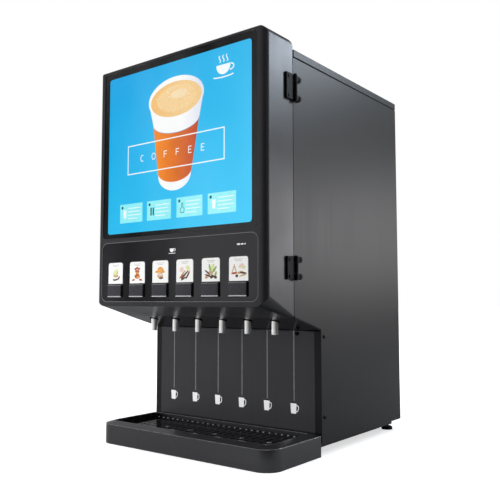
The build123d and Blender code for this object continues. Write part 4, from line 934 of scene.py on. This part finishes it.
def ribbon(bm, points, width, front, back, material=0, loop=False):
    """A stroke of even width along a line of (x, z) points, mitred at its corners."""
    outlines = ([], [])
    count = len(points)
    for k in range(count):
        before = Vector(points[k - 1]) if loop or k > 0 else None
        here = Vector(points[k])
        after = Vector(points[(k + 1) % count]) if loop or k < count - 1 else None
        first = (here - before).normalized() if before is not None else (after - here).normalized()
        second = (after - here).normalized() if after is not None else first
        normal = Vector((-(first + second).y, (first + second).x)).normalized()
        spread = width / 2 / max(0.35, normal.dot(Vector((-first.y, first.x))))
        outlines[0].append(tuple(here + normal * spread))
        outlines[1].append(tuple(here - normal * spread))
    if loop:
        rim(bm, outlines[0], outlines[1], front, back, material)
    else:
        for k in range(count - 1):
            slab(bm, [outlines[0][k], outlines[0][k + 1], outlines[1][k + 1], outlines[1][k]], front, back,
                 material)


FRAME = [(-149.0, 627.0), (143.0, 627.0), (143.0, 693.5), (-149.0, 693.5)]
FRAME_W = 2.4
LETTER_H = 14.0
LETTER_HALF = 5.0
LETTER_Z = 653.0
LETTER_X = -9.0
LETTER_PITCH = 37.0
LETTER_W = 1.7
LETTERS = {
    "C": [arc(0, LETTER_H / 2, LETTER_HALF, LETTER_H / 2, 50, 310, 14)],
    "O": [arc(0, LETTER_H / 2, LETTER_HALF + 0.6, LETTER_H / 2, 0, 350, 20)],
    "F": [[(5, LETTER_H), (-4, LETTER_H), (-4, 0)], [(-4, 7.4), (3.6, 7.4)]],
    "E": [[(5, LETTER_H), (-4, LETTER_H), (-4, 0), (5, 0)], [(-4, 7.2), (3.8, 7.2)]],
}
lit_line = lit_print("lit_line_white", screen_colour(250, 255, 255), screen_colour(250, 255, 255), -150, 150,
                     0.01)
lettering = bmesh.new()
ribbon(lettering, FRAME, FRAME_W, *layer(4), loop=True)
for k, letter in enumerate("COFFEE"):
    letter_x = LETTER_X + (k - 2.5) * LETTER_PITCH
    for stroke in LETTERS[letter]:
        ribbon(lettering, [(letter_x + u, LETTER_Z + v) for u, v in stroke], LETTER_W, *layer(4))
finished("picture_lettering", lettering, "door", "picture_sheet", lit_line, smooth=False)

# ---------------------------------------------------------------- step cards
# Four pale cards printed along the picture's foot tell how to draw a drink. Each has a dot, a small figure
# and text lines.
lit_card = lit_print("lit_step_card", screen_colour(150, 247, 255), screen_colour(160, 250, 255), -180, 180,
                     0.03)
lit_dark = lit_print("lit_dark_ink", screen_colour(30, 92, 104), screen_colour(30, 92, 104), -180, 180, 0.05)
STEP_CARDS = [(-175.0, -99.5), (-84.6, -9.3), (7.7, 83.1), (98.0, 174.3)]
CARD_Z = (514.0, 558.0)
TEXT_LINES = ((547.5, 0.98), (539.5, 0.90), (531.5, 0.97), (523.5, 0.72))
TEXT_INSET = 27.0
TEXT_HALF = 0.9
ICON_INSET = 17.0
step_cards = bmesh.new()
for k, (x0, x1) in enumerate(STEP_CARDS):
    slab(step_cards, rounded_outline(x0, x1, *CARD_Z, 1.2, 1.2, 3), *layer(1), 0)
    slab(step_cards, arc(x0 + 8.2, 550.0, 3.4, 3.4, 0, 360, 18)[:-1], *layer(2), 1)
    text_x0 = x0 + TEXT_INSET
    for text_z, share in TEXT_LINES:
        text_x1 = text_x0 + (x1 - x0 - 32) * share
        slab(step_cards, [(text_x0, text_z - TEXT_HALF), (text_x1, text_z - TEXT_HALF),
                          (text_x1, text_z + TEXT_HALF), (text_x0, text_z + TEXT_HALF)], *layer(2), 2)
    icon_x = x0 + ICON_INSET
    if k in (0, 3):
        slab(step_cards, [(icon_x - 5, 541), (icon_x + 5, 541), (icon_x + 3.8, 525), (icon_x - 3.8, 525)],
             *layer(2), 2)
        slab(step_cards, rounded_outline(icon_x - 6, icon_x + 6, 541.5, 544, 1, 1, 3), *layer(2), 2)
    elif k == 1:
        for stick_x in (icon_x - 3.6, icon_x + 3.6):
            slab(step_cards, rounded_outline(stick_x - 2.1, stick_x + 2.1, 525, 543, 1, 1, 3), *layer(2), 1)
    else:
        ribbon(step_cards, [(icon_x - 1.6, 545), (icon_x - 1.6, 536), (icon_x - 6, 532), (icon_x - 4, 524),
                            (icon_x + 5, 524), (icon_x + 6, 533), (icon_x + 1.8, 536), (icon_x + 1.8, 545)],
               1.3, *layer(2), 1, loop=True)
finished("picture_step_cards", step_cards, "door", "picture_sheet", lit_card, lit_dark, lit_line,
         smooth=False)

# ---------------------------------------------------------------- cup figure
# A plain steaming cup on its saucer stands in the picture's top right corner, printed in white on the
# same sheet.
FIG_X = 140.0
FIG_Z = 812.0
FIG_HALF = 19.0
FIG_LINE_W = 2.6
WISP_W = 2.2
bowl = sagging(FIG_X - FIG_HALF, FIG_X + FIG_HALF, FIG_Z + 14, 19)
bowl += [(FIG_X + FIG_HALF, FIG_Z + 16), (FIG_X - FIG_HALF, FIG_Z + 16)]
figure = bmesh.new()
slab(figure, bowl, *layer(1))
ribbon(figure, arc(FIG_X + FIG_HALF, FIG_Z + 8, 9, 6.5, -100, 80, 12), FIG_LINE_W, *layer(1))
ribbon(figure, sagging(FIG_X - 27, FIG_X + 27, FIG_Z - 8, 3, 12), FIG_LINE_W, *layer(1))
for side in (-1, 0, 1):
    wisp = [(FIG_X + side * 10 + 2.2 * math.sin(t * 1.26), FIG_Z + 21 + t * 3.1) for t in range(6)]
    ribbon(figure, wisp, WISP_W, *layer(1))
finished("picture_cup_figure", figure, "door", "picture_sheet", lit_line, smooth=False)

# ---------------------------------------------------------------- LED strips
# Four narrow white boards light the picture from behind. They are glued to the back cover, and each
# carries a row of LEDs with yellow tops.
led_front = box_mm("led_strips")[0].y
led_print, led_tree = blank_material("led_board_and_phosphor")
led_place = node(led_tree, "ShaderNodeSeparateXYZ", {0: object_place(led_tree)})
led_share = remapped(led_tree, led_place.outputs["Y"], (led_front + 1.2) * MM, (led_front + 0.2) * MM,
                     0.0, 1.0)
led_cloud = placed(led_tree, coat_grain, Grain=1500.0, Cloud=40.0)["Cloud"]
board_white = blended(led_tree, led_cloud, (0.74, 0.74, 0.73, 1), (0.84, 0.84, 0.83, 1))
led_colour = blended(led_tree, led_share, board_white, (0.95, 0.80, 0.25, 1))
led_glow = blended(led_tree, led_share, (0.0, 0.0, 0.0, 1), (1.0, 0.97, 0.85, 1))
principled(led_tree, {"Base Color": led_colour, "Roughness": 0.4, "Emission Color": led_glow,
                      "Emission Strength": 1.5}, {})
dress(led_print, "led_strips")

# ---------------------------------------------------------------- control panel and flavour cards
# A glossy black plate is let into the door under the picture. Six printed cards stand on it, and each shows
# its flavour's ingredients as a small picture.
panel_gloss = coated("gloss_black_panel", (0.010, 0.010, 0.011, 1), 0.10, grain=(90.0, 0.012), cloud=0.3,
                     edge=(0.8, 0.4), dust=0.0, Coat_Weight=1.0, Coat_Roughness=0.05)
dress(panel_gloss, "control_panel")
card_stock = printed("white_card", (0.86, 0.86, 0.84, 1), (0.90, 0.90, 0.88, 1))
dress(card_stock, "flavour_cards")
cards_low, cards_high = box_mm("flavour_cards")
INKS = {
    "pale_green": ((0.55, 0.62, 0.28, 1), (0.80, 0.80, 0.45, 1)),
    "leaf_green": ((0.12, 0.26, 0.03, 1), (0.42, 0.55, 0.12, 1)),
    "dark_brown": ((0.035, 0.018, 0.012, 1), (0.14, 0.07, 0.045, 1)),
    "red_brown": ((0.30, 0.045, 0.02, 1), (0.55, 0.16, 0.06, 1)),
    "caramel": ((0.62, 0.20, 0.02, 1), (0.88, 0.45, 0.10, 1)),
    "tan": ((0.40, 0.24, 0.12, 1), (0.66, 0.48, 0.30, 1)),
    "blush": ((0.72, 0.48, 0.42, 1), (0.86, 0.70, 0.62, 1)),
    "title_grey": ((0.45, 0.45, 0.45, 1), (0.55, 0.55, 0.55, 1)),
}
ink_names = list(INKS)
inks = [printed(f"{ink}_ink", *tones, scale=500.0) for ink, tones in INKS.items()]


def blob(cx, cz, rx, rz, tilt):
    """A tilted oval as (x, z) points."""
    cosine = math.cos(math.radians(tilt))
    sine = math.sin(math.radians(tilt))
    oval = arc(0, 0, rx, rz, 0, 360, 14)[:-1]
    return [(cx + u * cosine - v * sine, cz + u * sine + v * cosine) for u, v in oval]


# ink, then centre x, height over the card's foot, half length, half width and tilt of each shape
CARD_PICTURES = [
    [("pale_green", -1, 22, 7.5, 6.0, 20), ("pale_green", 3, 27, 5.0, 3.4, 60),
     ("leaf_green", 6, 23, 3.6, 1.4, 70), ("tan", 1, 16, 8.5, 3.0, 0), ("dark_brown", 2, 8.5, 10, 1.7, 12),
     ("dark_brown", 10, 12, 5, 1.6, 40), ("dark_brown", -5, 9, 3.4, 1.2, -20)],
    [("red_brown", -5, 29, 3.4, 2.4, 10), ("red_brown", 0, 31, 3.2, 2.4, -20),
     ("red_brown", 5, 29, 3.4, 2.4, 15), ("red_brown", 0, 24, 6.5, 3.0, 0), ("caramel", 0, 20, 5.0, 2.0, 0),
     ("red_brown", 0, 14, 7.5, 5.0, 0), ("caramel", 1, 12, 4.0, 2.6, 10),
     ("red_brown", -11, 7, 4.2, 1.8, 10), ("red_brown", 10, 7, 4.6, 1.9, -12)],
    [("caramel", -2, 28, 6.0, 3.0, 20), ("caramel", 4, 27, 5.0, 3.0, -25), ("caramel", -7, 22, 7.0, 2.6, 5),
     ("caramel", 5, 22, 7.5, 3.0, -5), ("tan", 0, 14, 8.0, 6.0, 0), ("blush", 0, 16, 6.4, 2.4, 0),
     ("dark_brown", 3, 9, 6.0, 1.8, 8)],
    [("blush", -8, 24, 6.0, 4.6, 30), ("pale_green", 8, 27, 6.0, 4.0, -40), ("blush", 9, 20, 5.0, 3.4, 0),
     ("tan", -4, 17, 8.0, 2.0, 42), ("dark_brown", 0, 14, 12, 1.9, 40), ("dark_brown", 8, 13, 9, 1.8, 55),
     ("red_brown", -8, 11, 7.0, 1.7, 30), ("dark_brown", -3, 7, 8.0, 1.7, 25)],
    [("pale_green", 4, 26, 8.0, 3.4, 62), ("leaf_green", -2, 25, 8.0, 2.4, 105),
     ("leaf_green", 9, 22, 8.0, 2.4, 50), ("leaf_green", 12, 14, 5.0, 2.4, 70), ("tan", 0, 16, 6.0, 4.0, 0),
     ("dark_brown", -8, 17, 8.0, 1.6, -35),
     ("dark_brown", -6, 11, 9.0, 1.8, -15), ("tan", -10, 8, 5.0, 2.4, 10), ("dark_brown", 3, 9, 5.0, 3.0, 30),
     ("dark_brown", 11, 8, 4.4, 2.8, -20)],
    [("blush", 6, 27, 6.5, 3.6, 20), ("pale_green", 12, 24, 4.0, 3.0, 0), ("tan", -12, 22, 9.5, 1.2, 68),
     ("tan", -7, 21, 10.0, 1.2, 112), ("red_brown", -10, 14, 7.0, 2.0, 5), ("tan", 4, 15, 7.0, 2.4, 10),
     ("dark_brown", 11, 14, 8.0, 1.7, -8), ("tan", 10, 10, 8.5, 1.6, 14), ("dark_brown", -4, 9, 3.4, 2.6, 0)],
]
CARD_W = 49.0
PICTURE_SCALE = 1.12
for i, shapes in enumerate(CARD_PICTURES):
    card_x = cards_low.x + CARD_W / 2 + i * PITCH
    picture = bmesh.new()
    ink_y = cards_low.y
    for k, (ink, *shape, tilt) in enumerate(shapes):
        u, v, half_long, half_wide = [PICTURE_SCALE * size for size in shape]
        slab(picture, blob(card_x + u, cards_low.z + v, half_long, half_wide, tilt), ink_y - 0.04 - 0.012 * k,
             ink_y, ink_names.index(ink))
    for title_z, half in ((cards_high.z - 5.4, 11.0), (cards_high.z - 8.6, 8.0)):
        title = rounded_outline(card_x - half, card_x + half, title_z - 0.6, title_z + 0.6, 0.4, 0.4, 2)
        slab(picture, title, ink_y - 0.05, ink_y, ink_names.index("title_grey"))
    finished(f"card_picture_{i + 1}", picture, "door", "card_white", *inks, smooth=False)

# ---------------------------------------------------------------- panel bead
# A thin satin bead runs round the control panel on the door's face. It is moulded with the door; its much
# paler coat is a painted highlight, the light line round the panel.
# Painted highlight: the bead is coated far paler than the door.
pale_bead_highlight_coat = coated("satin_bead_highlight", (0.30, 0.30, 0.31, 1), 0.30, grain=(900.0, 0.01), dust=0.0, Metallic=0.5)
panel_low, panel_high = box_mm("control_panel")
bead_back = box_mm("door_shell")[0].y
PANEL_CORNER = 16.0
BEAD_T = 0.5
bead_outlines = []
for out in (1.6, 0.5):
    bead_outlines.append(rounded_outline(panel_low.x - out, panel_high.x + out, panel_low.z - out,
                                         panel_high.z + out, PANEL_CORNER + out, PANEL_CORNER + out))
bead = bmesh.new()
rim(bead, *bead_outlines, bead_back - BEAD_T, bead_back)
finished("panel_bead", bead, "door", "door_plastic", pale_bead_highlight_coat)

# ---------------------------------------------------------------- panel marks
# Small white symbols are screen printed on the panel: a cup in the middle, and a status mark of three bars
# on the right.
MARK_X = -1.0
MARK_Z = 443.0
MARK_LINE_W = 1.2
STATUS_BARS = ((179.0, 9.0), (190.0, 6.0), (198.5, 3.0))
STATUS_Z = (445.2, 448.4)
mark_front = panel_low.y - 0.1
mark_bowl = sagging(MARK_X - 8, MARK_X + 5, MARK_Z + 3, 7, 12)
mark_bowl += [(MARK_X + 5, MARK_Z + 4.2), (MARK_X - 8, MARK_Z + 4.2)]
mark_saucer = [(MARK_X - 11, MARK_Z - 6.4), (MARK_X + 9, MARK_Z - 6.4)]
panel_marks = bmesh.new()
slab(panel_marks, mark_bowl, mark_front, panel_low.y)
ribbon(panel_marks, arc(MARK_X + 5, MARK_Z + 1, 4.4, 2.8, -90, 80, 8), MARK_LINE_W, mark_front, panel_low.y)
ribbon(panel_marks, mark_saucer, MARK_LINE_W, mark_front, panel_low.y)
for left, width in STATUS_BARS:
    slab(panel_marks, rounded_outline(left, left + width, *STATUS_Z, 1.2, 1.2, 3), mark_front, panel_low.y)
finished("panel_marks", panel_marks, "door", "card_white", mark_ink, smooth=False)

# ---------------------------------------------------------------- push buttons and switch board
# Six dark grey moulded buttons with a finely ribbed face stand proud of the panel; behind them a board
# carries one small switch each. A grey bar along each button's head and a paler one along its foot are
# painted highlights.
button_plastic = coated("ribbed_button_plastic", (0.045, 0.045, 0.052, 1), 0.30, grain=(1100.0, 0.03),
                        lines=(120.0, 120.0, 2400.0), line_share=0.3, edge=(0.9, 0.5), dust=0.0)
FLANGE_LIP = 3.0
FLANGE_T = 2.0
PLUNGER_L = 4.0
PLUNGER = [(0, 3.0), (PLUNGER_L - 0.5, 3.0), (PLUNGER_L, 2.5)]
# Painted highlights: a grey bar along each button's head and a paler bar along its foot.
upper_painted_highlight = coated("button_upper_highlight", (0.17, 0.17, 0.175, 1), 0.28, dust=0.0)
lower_painted_highlight = coated("button_lower_highlight", (0.48, 0.48, 0.49, 1), 0.28, dust=0.0)
for i in range(STATIONS):
    key_low, key_high = box_mm(f"button_{i + 1}")
    key = bmesh.new()
    left, right = key_low.x + FLANGE_LIP, key_high.x - FLANGE_LIP
    foot, head = key_low.z + FLANGE_LIP, key_high.z - FLANGE_LIP
    front_y = key_low.y
    flange_y = key_high.y - PLUNGER_L
    centre = (key_low + key_high) / 2
    brick(key, left, right, front_y + 0.9, flange_y - 0.8, foot, head, 0.5)
    brick(key, left + 0.6, right - 0.6, front_y + 0.3, front_y + 3, foot + 2.2, head - 1.6, 0.4)
    # The foot bar and the head bar carry the painted highlights.
    brick(key, left, right, front_y, front_y + 3, foot, foot + 2.4, 1.0, 2)
    brick(key, left, right, front_y, front_y + 3, head - 1.8, head, 0.8, 1)
    brick(key, key_low.x, key_high.x, flange_y - FLANGE_T, flange_y, key_low.z, key_high.z, 0.3)
    turned(key, (0, 1, 0), (centre.x, flange_y, centre.z), PLUNGER, steps=20)
    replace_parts(finished(f"push_button_{i + 1}", key, f"button_{i + 1}", "button_grey", button_plastic,
                         upper_painted_highlight, lower_painted_highlight), f"button_{i + 1}")
dress(board_green, "switch_board")

# ---------------------------------------------------------------- door lock
# A plated cam lock sits in the left side of the door. It has a fixed barrel, and a plug that the key
# turns in it.
plated = coated("plated_steel", (0.66, 0.66, 0.67, 1), 0.14, grain=(1500.0, 0.004), cloud=0.06, dust=0.0,
                edge=(0.4, 0.2), Metallic=1.0)
dress(plated, "lock_barrel", "lock_plug")

# ---------------------------------------------------------------- drip tray and grate
# The tray is a dark satin moulding with a sloping rim, whose edges carry a pale painted highlight line; a
# glossy black slotted grate lies in it, with a row of studs along its rear, painted pale as glints, and a
# square pad in front of each outlet.
# Painted highlight: a wide pale grey line along the tray's edges.
tray_plastic = coated("satin_tray_moulding", (0.045, 0.045, 0.049, 1), 0.28, grain=(1000.0, 0.006),
                      cloud=0.08, edge=(2.6, 1.6), dust=0.0, painted_highlight_tone=(0.42, 0.42, 0.43, 1), Metallic=0.5,
                      Coat_Weight=1.0, Coat_Roughness=0.12)
dress(tray_plastic, "drip_tray")
gloss_grate = coated("gloss_black_grate", (0.003, 0.003, 0.003, 1), 0.10, grain=(200.0, 0.002), cloud=0.1,
                     edge=(0.5, 0.15), dust=0.0, Specular_IOR_Level=0.26)
dress(gloss_grate, "drip_grate")
grate_low, grate_high = box_mm("drip_grate")
STUD_PITCH = 16.5
STUD_INSET = 5.0
STUD = [(0, 2.7), (0.9, 2.5), (1.5, 1.5), (1.7, 0.4)]
PAD_HALF = 4.0
PAD_SHIFT = 8.0
PAD_DEPTH = 9.0
PAD_T = 0.8
pad_y = splash_low.y - 112
stud_count = int((grate_high.x - grate_low.x - 20) / STUD_PITCH)
studs = bmesh.new()
for k in range(stud_count + 1):
    x = (k - stud_count / 2) * STUD_PITCH
    turned(studs, (0, 0, 1), (x, grate_high.y - STUD_INSET, grate_high.z), STUD, steps=16)
for x in station_x:
    pad_x = x + PAD_SHIFT
    brick(studs, pad_x - PAD_HALF, pad_x + PAD_HALF, pad_y, pad_y + PAD_DEPTH, grate_high.z,
          grate_high.z + PAD_T, 0.3, 1)
# Painted highlight: the studs are coloured pale to stand for the glints along the grate's rear.
stud_glint_paint = coated("stud_painted_glint", (0.55, 0.55, 0.56, 1), 0.3, dust=0.0, Metallic=0.3)
pad_grey = coated("grey_pad", (0.34, 0.34, 0.35, 1), 0.35, dust=0.05)
finished("grate_studs", studs, "drip_grate", "grate_gloss", stud_glint_paint, pad_grey)
